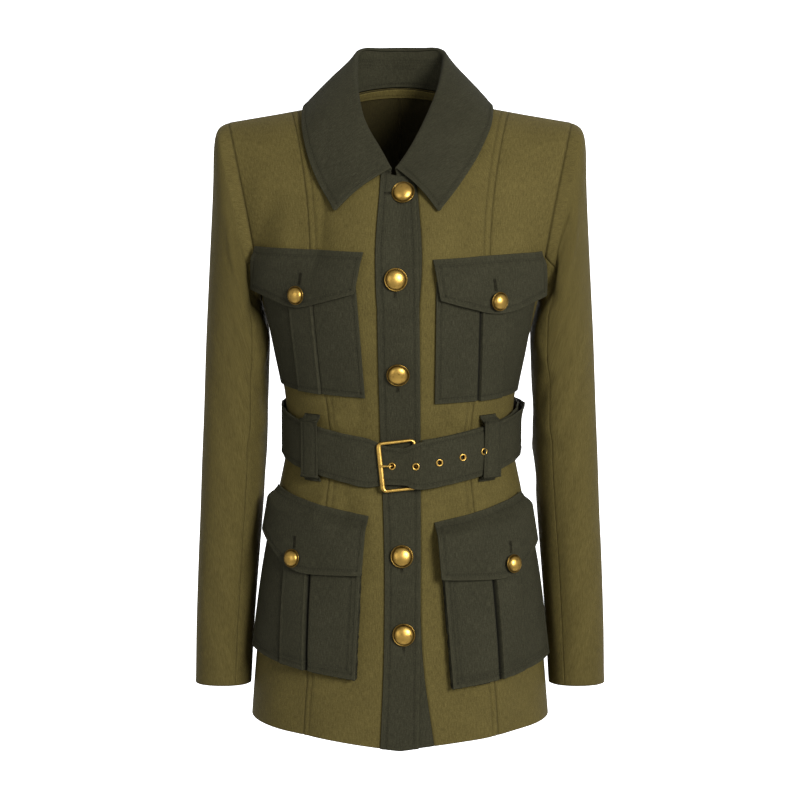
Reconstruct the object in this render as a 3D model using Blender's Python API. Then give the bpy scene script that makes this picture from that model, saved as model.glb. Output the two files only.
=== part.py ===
"""Belted safari jacket with four patch pockets, hollow, in the form it has when worn.

Metres, +Z up, the front faces -Y and the wearer's left is +X. The origin is the middle of the neck at the
height of the shoulder seams. Every cloth piece is a thin closed wall.
"""
import math

import bmesh
import bpy
import numpy as np
from mathutils import Matrix, Vector

# Cloth
SEAM_GAP = 0.0003
BODY_CLOTH = 0.0018
TRIM_CLOTH = 0.0017
COLLAR_CLOTH = 0.0020
BELT_CLOTH = 0.0020

# Body sections: height, half width, front depth, back depth
BODY_SECTIONS = (
    (-0.680, 0.1675, 0.129, 0.123),
    (-0.600, 0.1615, 0.127, 0.121),
    (-0.500, 0.1510, 0.116, 0.113),
    (-0.420, 0.1355, 0.102, 0.100),
    (-0.362, 0.1250, 0.094, 0.091),
    (-0.310, 0.1270, 0.102, 0.095),
    (-0.255, 0.1395, 0.114, 0.101),
    (-0.205, 0.1520, 0.118, 0.105),
)
HEM_HEIGHT = BODY_SECTIONS[0][0]
ARMPIT_HEIGHT = BODY_SECTIONS[-1][0]
ROUNDNESS = 2.25
HEM_SIDE_RISE = 0.006
HEM_QUARTER_RISE = 0.009
HEM_RISE_LEVEL = 0.15
LOWER_ROWS = 13
UPPER_ROWS = 9

# Neck and shoulders
NECK_HALF_WIDTH = 0.062
NECK_FRONT = (0.0, -0.078, -0.070)
NECK_SIDE = (NECK_HALF_WIDTH, 0.004, 0.008)
NECK_BACK = (0.0, 0.062, 0.0235)
CHEST_BULGE = 0.0115
BLADE_BULGE = 0.019
FRONT_LEAN = 1.15
BACK_LEAN = 2.1
NECK_SHARE = 0.47
NECK_COLUMNS = 6
SHOULDER_COLUMNS = 2
SIDE_COLUMNS = 5

# Princess seam: body level (0 hem, 1 armpit, 2 shoulder) and its share of the way from centre to side
PRINCESS_SEAM = (
    (0.00, 0.46),
    (0.65, 0.43),
    (1.00, 0.48),
    (1.45, 0.56),
    (2.00, 0.708),
)

# Sleeve rings: row, outer x, outer z, inner x, inner z, centre y, front depth, back depth
SLEEVE_RINGS = (
    (0, 0.1870, -0.0145, 0.1520, -0.2050, 0.003, 0.056, 0.060),
    (1, 0.1970, -0.0222, 0.1525, -0.2110, 0.003, 0.058, 0.061),
    (2, 0.2020, -0.0400, 0.1512, -0.2190, 0.004, 0.059, 0.061),
    (3, 0.2040, -0.0800, 0.1490, -0.2300, 0.005, 0.060, 0.061),
    (4, 0.2065, -0.1300, 0.1448, -0.2500, 0.006, 0.059, 0.060),
    (5, 0.2100, -0.1950, 0.1446, -0.2750, 0.008, 0.058, 0.059),
    (6, 0.2140, -0.2600, 0.1458, -0.3100, 0.009, 0.056, 0.057),
    (7, 0.2178, -0.3250, 0.1478, -0.3550, 0.009, 0.054, 0.055),
    (8, 0.2218, -0.3900, 0.1515, -0.4080, 0.008, 0.052, 0.053),
    (9, 0.2246, -0.4600, 0.1560, -0.4680, 0.006, 0.050, 0.051),
    (10, 0.2277, -0.5430, 0.1618, -0.5460, 0.002, 0.048, 0.049),
    (11, 0.2308, -0.6400, 0.1682, -0.6410, -0.003, 0.047, 0.048),
)
SLEEVE_SQUARENESS = 2.2
UNDER_SLEEVE_SHARE = 3
SLEEVE_HEAD_TRIM = 0.0006
ARMHOLE_SWAY = 0.003
ARMHOLE_HOLLOW = 0.006
CUFF_RISE = 0.008

# Plackets, as distances round the body from the centre line
# Edges of the overlapping placket: body level, free edge, buttoned edge, from the centre line
PLACKET_OVER_EDGES = (
    (0.00, -0.0212, 0.0200),
    (0.20, -0.0174, 0.0212),
    (0.40, -0.0164, 0.0220),
    (0.75, -0.0214, 0.0216),
    (1.00, -0.0237, 0.0200),
    (1.30, -0.0230, 0.0175),
    (1.60, -0.0240, 0.0178),
    (2.00, -0.0260, 0.0195),
)
PLACKET_LIFT = 0.0007
PLACKET_EDGE_TRIM = 0.0006
UNDERLAP_DEPTH = 0.0027
UNDERLAP_START = -0.020
UNDERLAP_COLUMNS = (-0.004, 0.004, 0.013)
# Underlap seam: body level, distance from the centre line
UNDERLAP_SEAM = (
    (0.00, 0.0370),
    (0.22, 0.0240),
    (0.50, 0.0215),
    (2.00, 0.0215),
)

# Collar fold line: share of the half collar from centre back, x, y, z
COLLAR_FOLD = (
    (0.00, 0.000, 0.0550, 0.0630),
    (0.13, 0.021, 0.0535, 0.0630),
    (0.26, 0.041, 0.0475, 0.0630),
    (0.33, 0.0465, 0.0390, 0.0590),
    (0.45, 0.0475, 0.0180, 0.0455),
    (0.60, 0.046, -0.014, 0.018),
    (0.75, 0.038, -0.042, -0.015),
    (0.90, 0.020, -0.066, -0.047),
    (1.00, 0.010, -0.078, -0.063),
)
# How far the left fold line lies inside the right one: share of the half collar, distance
LEFT_FOLD_INSET = (
    (0.00, 0.0000),
    (0.45, 0.0005),
    (0.60, 0.0055),
    (0.75, 0.0115),
    (0.90, 0.0110),
    (1.00, 0.0140),
)
# Collar leaf edge: share of the half collar, x, z, and which side of the body it lies on
COLLAR_EDGE = (
    (0.00, 0.0000, -0.0120, "back"),
    (0.15, 0.0360, -0.0125, "back"),
    (0.30, 0.0780, -0.0090, "back"),
    (0.40, 0.1010, 0.0000, "front"),
    (0.52, 0.1030, -0.0150, "front"),
    (0.64, 0.1000, -0.0340, "front"),
    (0.76, 0.0935, -0.0580, "front"),
    (0.88, 0.0820, -0.0835, "front"),
    (1.00, 0.0640, -0.1095, "front"),
)
# How far the left leaf falls short of the right one: share of the half collar, distance
LEFT_LEAF_INSET = (
    (0.00, 0.0000),
    (0.40, 0.0040),
    (0.52, 0.0055),
    (0.70, 0.0125),
    (0.88, 0.0225),
    (1.00, 0.0272),
)
# Lean of the leaf's lift towards straight up: share of the half collar, amount
COLLAR_LIFT_LEAN = (
    (0.00, 0.7),
    (0.28, 1.4),
    (0.40, 3.5),
    (0.54, 1.6),
    (0.75, 0.8),
    (1.00, 0.5),
)
COLLAR_LIFT = 0.0062
COLLAR_ROLL = 0.0036
COLLAR_ROLL_END = 0.0020
COLLAR_BULGE = 0.004
# Where the two ends of the stand lie, across the front
RIGHT_STAND_END = -0.0095
LEFT_STAND_END = -0.0040
LEAF_ROWS = 5
FACING_SHARE = 0.045
FACING_CLOTH = 0.0012
FACING_OFFSET = 0.0012
FACING_TOP_LEVEL = 1.998

# Pockets: side (-1 right, 1 left), distance of the inner edge from the centre line, width,
# top height, drop of the outer end, height, slant of the bottom towards the side
CHEST_BAGS = {
    "right": (-1, 0.0465, 0.1300, -0.169, -0.006, 0.1325, -0.010),
    "left": (1, 0.0375, 0.1300, -0.177, -0.004, 0.1310, -0.001),
}
LOWER_BAGS = {
    "right": (-1, 0.0395, 0.1400, -0.456, -0.014, 0.1445, 0.007),
    "left": (1, 0.0430, 0.1370, -0.463, -0.014, 0.1475, 0.012),
}
# Flaps: side, inner edge, width, top height, drop of the outer end, inner height, point height,
# outer height, point place, slant of the bottom towards the side
CHEST_FLAPS = {
    "right": (-1, 0.0380, 0.1310, -0.1470, -0.003, 0.0420, 0.0625, 0.0445, 0.49, 0.008),
    "left": (1, 0.0340, 0.1300, -0.1545, -0.0055, 0.0415, 0.0625, 0.0465, 0.49, 0.007),
}
LOWER_FLAPS = {
    "right": (-1, 0.0330, 0.1240, -0.4285, -0.020, 0.0620, 0.0765, 0.0500, 0.58, 0.0055),
    "left": (1, 0.0365, 0.1160, -0.4355, -0.021, 0.0595, 0.0780, 0.0540, 0.65, 0.005),
}
# How far the outer end of a flap stands off: at its top, at its bottom
CHEST_FLARE = (0.0014, 0.0065)
LOWER_FLARE = (0.0030, 0.0025)
CHEST_BAG_LIFT = 0.0013
LOWER_BAG_DEPTH = 0.0110
LOWER_BAG_TAPER = 0.7
FLAP_BAG_SHARE = 0.5
PLEAT_RAISE = 0.0016
PLEAT_HALF_WIDTH = 0.015
PLEAT_FOLD = 0.0008
FLAP_CLEARANCE = 0.0012
FLAP_TOP_LIFT = 0.0010
FLAP_RISE_SHARE = 0.3

# Buttons
FRONT_BUTTON_HEIGHTS = (-0.0880, -0.1750, -0.2740, -0.4705, -0.5525)
FRONT_BUTTON_PLACES = (0.0038, -0.0050, -0.0020, 0.0020, 0.0040)
FRONT_BUTTON_RADIUS = 0.01225
POCKET_BUTTON_RADIUS = 0.0100
BUTTON_SEGMENTS = 12
FLAP_BUTTON_UP = 0.015

# Belt
BELT_FRONT_HEIGHT = -0.3745
BELT_SIDE_HEIGHT = -0.3465
BELT_HALF_HEIGHT = 0.0262
BELT_BEND = 0.3
BELT_FRONT_REACH = 0.105
BELT_START_LIFT = 0.0010
BELT_TURN_COLUMNS = 56
BELT_START_X = 0.0230
BELT_TAIL_COLUMNS = 15
# Stand-off of the strap's inner face near the buckle: x across the front, distance from the body
BELT_BUCKLE_RISE = (
    (-0.0700, 0.0034),
    (-0.0450, 0.0046),
    (-0.0210, 0.0050),
    (-0.0060, 0.0072),
    (0.0090, 0.0104),
    (0.0165, 0.0117),
    (0.0250, 0.0108),
    (0.0390, 0.0080),
    (0.0600, 0.0068),
)
# Half height of the strap where the buckle gathers it: x across the front, half height
BELT_PINCH = (
    (-0.0600, 0.0262),
    (-0.0320, 0.0256),
    (-0.0215, 0.0222),
    (-0.0150, 0.0206),
    (-0.0030, 0.0200),
    (0.0070, 0.0204),
    (0.0140, 0.0236),
    (0.0250, 0.0256),
    (0.0400, 0.0262),
)
BELT_INNER_STANDOFF = 0.0034
BELT_TAIL_STANDOFF = 0.0068
BUCKLE_TILT = math.radians(6.0)
BUCKLE_CENTRE_X = -0.0015
BUCKLE_WIDTH = 0.0380
BUCKLE_HEIGHT = 0.0510
BUCKLE_WIRE = 0.0018
BUCKLE_CORNER = 0.004
BUCKLE_BAR_STANDOFF = 0.0092
BUCKLE_PIVOT_STANDOFF = 0.0067
PRONG_WIRE = 0.0010
PRONG_CLEARANCE = 0.0003
EYELET_PLACES = (-0.0080, 0.0165, 0.0405, 0.0650, 0.0870)
EYELET_HOLE = 0.0032
EYELET_SEGMENTS = 10
LOOP_PLACES = {"right": -0.0935, "left": 0.0930}
LOOP_HALF_WIDTH = 0.0108
LOOP_CLOTH = 0.0015
LOOP_BASE_LIFT = 0.0008
LOOP_SLACK = 0.0018
LOOP_SECTION = (0.128, 0.100)
# Loop profile: height from the belt's middle, share of the full stand-off
LOOP_PROFILE = (
    (0.0370, 0.0),
    (0.0340, 0.15),
    (0.0310, 0.80),
    (0.0280, 1.0),
    (-0.0285, 1.0),
    (-0.0315, 0.80),
    (-0.0340, 0.15),
    (-0.0365, 0.0),
)

# Colours (linear) and finishes
OLIVE = (0.106, 0.081, 0.029)
CHARCOAL = (0.047, 0.043, 0.027)
GOLD = (0.75, 0.50, 0.16)


def clear_scene():
    for item in list(bpy.data.objects):
        bpy.data.objects.remove(item, do_unlink=True)


def make_material(name, colour, roughness, metallic):
    material = bpy.data.materials.new(name)
    material.use_nodes = True
    shader = material.node_tree.nodes["Principled BSDF"]
    shader.inputs["Base Color"].default_value = (*colour, 1.0)
    shader.inputs["Roughness"].default_value = roughness
    shader.inputs["Metallic"].default_value = metallic
    return material


def smooth(table, key):
    """Row of a table at a key, on a smooth curve through its rows (first column is the key)."""
    rows = np.array(table, dtype=float)
    keys = rows[:, 0]
    values = rows[:, 1:]
    key = min(max(key, keys[0]), keys[-1])
    place = min(int(np.searchsorted(keys, key, side="right")) - 1, len(keys) - 2)
    slopes = np.gradient(values, keys, axis=0)
    span = keys[place + 1] - keys[place]
    t = (key - keys[place]) / span
    start = values[place] * (2 * t ** 3 - 3 * t ** 2 + 1) + slopes[place] * span * (t ** 3 - 2 * t ** 2 + t)
    end = values[place + 1] * (3 * t ** 2 - 2 * t ** 3) + slopes[place + 1] * span * (t ** 3 - t ** 2)
    return start + end


def unit(vectors):
    return vectors / np.maximum(np.linalg.norm(vectors, axis=-1, keepdims=True), 1e-12)


def along(line, distances):
    """Points at given distances along a line of points, going straight on past its end."""
    steps = np.linalg.norm(np.diff(line, axis=0), axis=1)
    travelled = np.concatenate([[0.0], np.cumsum(steps)])
    points = np.stack([np.interp(distances, travelled, line[:, axis]) for axis in range(3)], axis=-1)
    beyond = np.maximum(np.asarray(distances) - travelled[-1], 0.0)
    return points + beyond[..., None] * unit(line[-1] - line[-3])


def length_of(line):
    return float(np.linalg.norm(np.diff(line, axis=0), axis=1).sum())


# Body surface


def quarter_line(height, front, samples=49):
    """Quarter of the level section, from the centre line to the side."""
    half_width, front_depth, back_depth = smooth(BODY_SECTIONS, height)
    depth = front_depth if front else back_depth
    angle = np.linspace(0.0, math.pi / 2, samples)
    reach = (np.abs(np.sin(angle) / half_width) ** ROUNDNESS + np.abs(np.cos(angle) / depth) ** ROUNDNESS)
    reach = reach ** (-1.0 / ROUNDNESS)
    sign = -1.0 if front else 1.0
    line = np.stack([reach * np.sin(angle), sign * reach * np.cos(angle), np.full(samples, height)], axis=-1)
    total = length_of(line)
    return along(line, np.linspace(0.0, total, samples))


def neck_point(share, front):
    """Neckline from the centre (0) to the side of the neck (1)."""
    angle = share * math.pi / 2
    centre = NECK_FRONT if front else NECK_BACK
    x = NECK_SIDE[0] * math.sin(angle)
    y = NECK_SIDE[1] + (centre[1] - NECK_SIDE[1]) * math.cos(angle)
    z = centre[2] + (NECK_SIDE[2] - centre[2]) * (1.0 - math.cos(angle)) ** 0.9
    return np.array((x, y, z))


def front_neck_at(x):
    """Point of the front neckline at x."""
    point = neck_point(math.asin(abs(x) / NECK_HALF_WIDTH) / (math.pi / 2), True)
    point[0] = x
    return point


def shoulder_point(share):
    top = SLEEVE_RINGS[0]
    start = np.array(NECK_SIDE)
    end = np.array((top[1], top[5] + ARMHOLE_SWAY, top[2]))
    return start + (end - start) * share


def armhole_point(turn, front):
    """Armhole edge: turn 0 at the shoulder, 1 under the arm."""
    _, outer_x, outer_z, inner_x, inner_z, centre_y, front_depth, back_depth = SLEEVE_RINGS[0]
    angle = turn * math.pi
    x = (outer_x + inner_x) / 2 + (outer_x - inner_x) / 2 * math.cos(angle) - ARMHOLE_HOLLOW * math.sin(angle)
    z = (outer_z + inner_z) / 2 + (outer_z - inner_z) / 2 * math.cos(angle)
    depth = -front_depth if front else back_depth
    y = centre_y + ARMHOLE_SWAY * math.cos(angle) + depth * math.sin(angle)
    return np.array((x, y, z))


def top_point(share, front):
    if share <= NECK_SHARE:
        return neck_point(share / NECK_SHARE, front)
    return shoulder_point((share - NECK_SHARE) / (1.0 - NECK_SHARE))


def centre_point(rise, front):
    """Centre front or centre back line above the armpit level, rise 0 to 1."""
    depth = smooth(BODY_SECTIONS, ARMPIT_HEIGHT)[1 if front else 2]
    start = np.array((0.0, -depth if front else depth, ARMPIT_HEIGHT))
    end = np.array(NECK_FRONT if front else NECK_BACK)
    bulge = -CHEST_BULGE if front else BLADE_BULGE
    return start + (end - start) * rise + np.array((0.0, bulge * math.sin(math.pi * rise), 0.0))


def skin_row(level, front, shares):
    """Points of the outer body surface at a level (0 hem, 1 armpit, 2 shoulder), +X half.

    A share below 0 lies past the centre line, on the other half.
    """
    shares = np.asarray(shares, dtype=float)
    sizes = np.abs(shares)
    if level <= 1.0:
        line = quarter_line(HEM_HEIGHT + (ARMPIT_HEIGHT - HEM_HEIGHT) * level, front)
        points = along(line, sizes * length_of(line))
        rise = HEM_SIDE_RISE * sizes ** 2 + HEM_QUARTER_RISE * np.sin(math.pi * sizes)
        points[:, 2] += max(0.0, 1.0 - level / HEM_RISE_LEVEL) * rise
    else:
        rise = level - 1.0
        base = quarter_line(ARMPIT_HEIGHT, front)
        bottom = along(base, sizes * length_of(base))
        top = np.array([top_point(size, front) for size in sizes])
        corner = (base[0], base[-1], top_point(0.0, front), top_point(1.0, front))
        centre = centre_point(rise, front)
        arm = armhole_point(1.0 - rise, front)
        weight = sizes[:, None]
        lean = rise ** (FRONT_LEAN if front else BACK_LEAN)
        blend = np.array((rise, lean, rise))
        ruled = bottom * (1 - blend) + top * blend
        centre_shift = centre - (corner[0] * (1 - blend) + corner[2] * blend)
        arm_shift = arm - (corner[1] * (1 - blend) + corner[3] * blend)
        points = ruled + (1 - weight) * centre_shift + weight * arm_shift
    points[:, 0] *= np.where(shares < 0, -1.0, 1.0)
    return points


FINE_SHARES = np.linspace(0.0, 1.0, 61)
FINE_RISES = np.linspace(0.0, 1.0, 41)
UPPER_GRIDS = {}
LEVEL_LINES = {}


def level_line(height, front):
    """Level line of the body surface from the centre (or the neckline) to the side (or the armhole)."""
    key = (round(height, 6), front)
    if key not in LEVEL_LINES:
        if height <= ARMPIT_HEIGHT:
            LEVEL_LINES[key] = quarter_line(height, front, len(FINE_SHARES))
        else:
            if front not in UPPER_GRIDS:
                rows = [skin_row(1.0 + rise, front, FINE_SHARES) for rise in FINE_RISES]
                UPPER_GRIDS[front] = np.stack(rows)
            grid = UPPER_GRIDS[front]
            points = []
            for column in range(grid.shape[1]):
                heights = grid[:, column, 2]
                rise = np.interp(height, heights, FINE_RISES)
                points.append([np.interp(rise, FINE_RISES, grid[:, column, axis]) for axis in range(3)])
            LEVEL_LINES[key] = np.array(points)
    return LEVEL_LINES[key]


def on_body(distance, height, lift=0.0, front=True):
    """Point at a signed distance round the body from the centre line, moved out along the surface normal."""
    step = 0.004
    spot = abs(distance)
    line = level_line(height, front)
    here, ahead, behind = along(line, [spot, spot + step, max(spot - step, 0.0)])
    above = along(level_line(height + step, front), [spot])[0]
    below = along(level_line(height - step, front), [spot])[0]
    normal = np.cross(ahead - behind, above - below)
    if not front:
        normal = -normal
    point = here + lift * normal / np.linalg.norm(normal)
    if distance < 0:
        point[0] = -point[0]
    return point


def depth_at(x, height, front):
    line = level_line(height, front)
    return float(np.interp(abs(x), line[:, 0], line[:, 1]))


def grid_normals(points):
    """Unit normals of a grid of points, by differences along its rows and columns."""
    return unit(np.cross(np.gradient(points, axis=1), np.gradient(points, axis=0)))


# Solids


def link(mesh_builder, name, material, smooth_angle=math.radians(40)):
    bmesh.ops.recalc_face_normals(mesh_builder, faces=mesh_builder.faces[:])
    if mesh_builder.calc_volume(signed=True) < 0:
        bmesh.ops.reverse_faces(mesh_builder, faces=mesh_builder.faces[:])
    mesh = bpy.data.meshes.new(name)
    mesh_builder.to_mesh(mesh)
    mesh_builder.free()
    mesh.shade_smooth()
    mesh.set_sharp_from_angle(angle=smooth_angle)
    mesh.materials.append(material)
    item = bpy.data.objects.new(name, mesh)
    bpy.context.scene.collection.objects.link(item)
    return item


def wall(name, outer, inner, material):
    """Closed wall between two grids of points with the same rows and columns.

    Faces along the borders all start at the same corner, so that neighbours at a seam split alike.
    """
    builder = bmesh.new()
    rows, columns = outer.shape[:2]
    faces_of = [[[builder.verts.new(point) for point in row] for row in grid] for grid in (outer, inner)]
    out, back = faces_of
    for r in range(rows - 1):
        for c in range(columns - 1):
            builder.faces.new((out[r][c], out[r][c + 1], out[r + 1][c + 1], out[r + 1][c]))
            builder.faces.new((back[r][c], back[r + 1][c], back[r + 1][c + 1], back[r][c + 1]))
    for r in range(rows - 1):
        for c, flip in ((0, False), (columns - 1, True)):
            ring = [out[r][c], out[r + 1][c], back[r + 1][c], back[r][c]]
            builder.faces.new(ring[:1] + ring[:0:-1] if flip else ring)
    for c in range(columns - 1):
        for r, flip in ((0, True), (rows - 1, False)):
            ring = [out[r][c], out[r][c + 1], back[r][c + 1], back[r][c]]
            builder.faces.new(ring if flip else ring[:1] + ring[:0:-1])
    return link(builder, name, material)


def trimmed(points, amount=SEAM_GAP / 2, first_row=SEAM_GAP / 2):
    """The grid with each border moved in along the surface."""
    result = points.copy()
    result[:, 0] += amount * unit(points[:, 1] - points[:, 0])
    result[:, -1] += amount * unit(points[:, -2] - points[:, -1])
    result[0] += first_row * unit(points[1] - points[0])
    result[-1] += amount * unit(points[-2] - points[-1])
    return result


def mirrored(points):
    return points * np.array((-1.0, 1.0, 1.0))


# Body and sleeves


def body_levels():
    lower = np.linspace(0.0, 1.0, LOWER_ROWS + 1)
    upper = 1.0 + np.linspace(0.0, 1.0, UPPER_ROWS + 1)[1:]
    return np.concatenate([lower, upper])


def princess(level):
    return float(smooth(PRINCESS_SEAM, level)[0])


def column_shares(level, start):
    """Shares of the columns of one half body: neck columns, shoulder columns, then the side panel."""
    seam = princess(level)
    centre_columns = NECK_COLUMNS + SHOULDER_COLUMNS
    even = np.linspace(start, seam, centre_columns + 1)
    neck = np.linspace(start, NECK_SHARE, NECK_COLUMNS + 1)
    shoulder = np.linspace(NECK_SHARE, seam, SHOULDER_COLUMNS + 1)[1:]
    shaped = np.concatenate([neck, shoulder])
    blend = max(level - 1.0, 0.0)
    centre = even * (1 - blend) + shaped * blend
    side = np.linspace(seam, 1.0, SIDE_COLUMNS + 1)[1:]
    return np.concatenate([centre, side])


def half_length(level, front):
    if level <= 1.0:
        return length_of(quarter_line(HEM_HEIGHT + (ARMPIT_HEIGHT - HEM_HEIGHT) * level, front))
    return length_of(skin_row(level, front, FINE_SHARES))


def underlap_share(level):
    return float(smooth(UNDERLAP_SEAM, level)[0]) / half_length(level, True)


def body_grid(front, start_share):
    rows = [skin_row(level, front, column_shares(level, start_share(level))) for level in body_levels()]
    return np.stack(rows)


def sleeve_grid():
    """Rings of one sleeve, rows down the arm, columns from the shoulder round the front and back again."""
    turns = np.linspace(0.0, 2.0, 2 * UPPER_ROWS + 1)
    rows = []
    for row in range(len(SLEEVE_RINGS)):
        _, outer_x, outer_z, inner_x, inner_z, centre_y, front_depth, back_depth = SLEEVE_RINGS[row]
        squareness = 2.0 if row == 0 else SLEEVE_SQUARENESS
        sway, hollow = (ARMHOLE_SWAY, ARMHOLE_HOLLOW) if row == 0 else (0.0, 0.0)
        cuff = CUFF_RISE if row == len(SLEEVE_RINGS) - 1 else 0.0
        ring = []
        for turn in turns:
            angle = turn * math.pi
            cosine = math.copysign(abs(math.cos(angle)) ** (2 / squareness), math.cos(angle))
            sine = math.copysign(abs(math.sin(angle)) ** (2 / squareness), math.sin(angle))
            depth = -front_depth if turn <= 1.0 else -back_depth
            ring.append((
                (outer_x + inner_x) / 2 + (outer_x - inner_x) / 2 * cosine - hollow * abs(sine),
                centre_y + sway * cosine + depth * sine,
                (outer_z + inner_z) / 2 + (outer_z - inner_z) / 2 * cosine + cuff * abs(sine),
            ))
        rows.append(ring)
    return np.array(rows)


def body_skin(front_start):
    """Front, back and sleeve grids of one half with normals that agree along the shared seams."""
    front = body_grid(True, front_start)
    back = body_grid(False, lambda level: 0.0)
    sleeve = sleeve_grid()
    front_normals = grid_normals(front)
    back_normals = -grid_normals(back)
    sleeve_normals = grid_normals(sleeve)
    if np.dot(sleeve_normals[-1, 0], (1.0, 0.0, 0.0)) < 0:
        sleeve_normals = -sleeve_normals
    wrap = unit(sleeve_normals[:, 0] + sleeve_normals[:, -1])
    sleeve_normals[:, 0] = wrap
    sleeve_normals[:, -1] = wrap

    back_normals[:, 0, 0] = 0.0
    back_normals[:, 0] = unit(back_normals[:, 0])
    shared = unit(front_normals[:LOWER_ROWS, -1] + back_normals[:LOWER_ROWS, -1])
    front_normals[:LOWER_ROWS, -1] = shared
    back_normals[:LOWER_ROWS, -1] = shared
    ridge = unit(front_normals[-1, NECK_COLUMNS:] + back_normals[-1, NECK_COLUMNS:])
    front_normals[-1, NECK_COLUMNS:] = ridge
    back_normals[-1, NECK_COLUMNS:] = ridge
    for k in range(UPPER_ROWS + 1):
        row = LOWER_ROWS + UPPER_ROWS - k
        opposite = 2 * UPPER_ROWS - k
        front_shared = unit(front_normals[row, -1] + sleeve_normals[0, k])
        back_shared = unit(back_normals[row, -1] + sleeve_normals[0, opposite])
        if k in (0, UPPER_ROWS):
            front_shared = unit(front_shared + back_shared)
            back_shared = front_shared
        front_normals[row, -1] = front_shared
        back_normals[row, -1] = back_shared
        sleeve_normals[0, k] = front_shared
        sleeve_normals[0, opposite] = back_shared
    return (front, front_normals), (back, back_normals), (sleeve, sleeve_normals)


def panel(name, points, normals, columns, side, material, first_row=SEAM_GAP / 2):
    outer = trimmed(points[:, columns], first_row=first_row)
    inner = outer - BODY_CLOTH * normals[:, columns]
    if side < 0:
        outer = mirrored(outer)
        inner = mirrored(inner)
    return wall(name, outer, inner, material)


def make_body(material):
    starts = {"right": lambda level: 0.0, "left": underlap_share}
    seam_column = NECK_COLUMNS + SHOULDER_COLUMNS
    for word, side in (("right", -1), ("left", 1)):
        front, back, sleeve = body_skin(starts[word])
        panel("centre_front_" + word, *front, slice(0, seam_column + 1), side, material)
        panel("side_front_" + word, *front, slice(seam_column, None), side, material)
        panel("back_" + word, *back, slice(0, None), side, material)
        make_sleeve(word, side, sleeve, material)


def make_sleeve(word, side, sleeve, material):
    """Upper sleeve over the outside of the arm, under sleeve along the inside."""
    points, normals = sleeve
    under = slice(UPPER_ROWS - UNDER_SLEEVE_SHARE, UPPER_ROWS + UNDER_SLEEVE_SHARE + 1)
    panel("under_sleeve_" + word, points, normals, under, side, material, SLEEVE_HEAD_TRIM)
    last = points.shape[1] - 1
    back_columns = list(range(UPPER_ROWS + UNDER_SLEEVE_SHARE, last))
    front_columns = list(range(0, UPPER_ROWS - UNDER_SLEEVE_SHARE + 1))
    upper = back_columns + front_columns
    panel("upper_sleeve_" + word, points, normals, upper, side, material, SLEEVE_HEAD_TRIM)


# Plackets


def strip_on_front(name, columns_at, lifts, cloth, material, trim):
    """Band down the centre front: columns by signed distance from the centre line at each level."""
    rows = []
    levels = body_levels()
    for level in levels:
        shares = np.array(columns_at(level)) / half_length(level, True)
        rows.append(skin_row(level, True, shares))
    points = np.stack(rows)
    normals = grid_normals(points)
    outer = points + normals * np.array(lifts)[None, :, None]
    outer = trimmed(outer, trim)
    return wall(name, outer, outer - cloth * normals, material)


def make_plackets(material):
    def under_columns(level):
        seam = underlap_share(level) * half_length(level, True)
        return (UNDERLAP_START, *UNDERLAP_COLUMNS, seam)

    sunk = (-UNDERLAP_DEPTH, -UNDERLAP_DEPTH, -UNDERLAP_DEPTH, 0.0, 0.0)
    strip_on_front("placket_under", under_columns, sunk, BODY_CLOTH, material, SEAM_GAP / 2)

    def over_columns(level):
        start, end = smooth(PLACKET_OVER_EDGES, level)
        return np.linspace(start, end, 5)

    lift = PLACKET_LIFT + TRIM_CLOTH
    strip_on_front("placket_over", over_columns, (lift,) * 5, TRIM_CLOTH, material, PLACKET_EDGE_TRIM)


# Collar


def collar_columns():
    """Shares of the half collar and the neckline points under them, from centre back to centre front."""
    back = [(share, neck_point(share, False)) for share in np.linspace(0.0, 1.0, NECK_COLUMNS + 1)]
    front = [(share, neck_point(share, True)) for share in np.linspace(1.0, 0.0, NECK_COLUMNS + 1)[1:]]
    points = np.array([point for _, point in back + front])
    steps = np.concatenate([[0.0], np.cumsum(np.linalg.norm(np.diff(points, axis=0), axis=1))])
    return steps / steps[-1], points


def whole_collar(half_points, other_half):
    """Join two half collars at centre back, the right side first."""
    return np.concatenate([mirrored(other_half[::-1]), half_points[1:]], axis=0)


def leaf_edge(share, inset):
    """Point of the body under the leaf's edge, its x reduced by a part of the left leaf's inset."""
    x, z = smooth([entry[:3] for entry in COLLAR_EDGE], share)
    x -= inset * float(smooth(LEFT_LEAF_INSET, share)[0])
    sides = [entry for entry in COLLAR_EDGE if entry[0] <= share + 1e-9]
    front = sides[-1][3] == "front"
    y = depth_at(x, z, front)
    return np.array((x, y, z))


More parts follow.
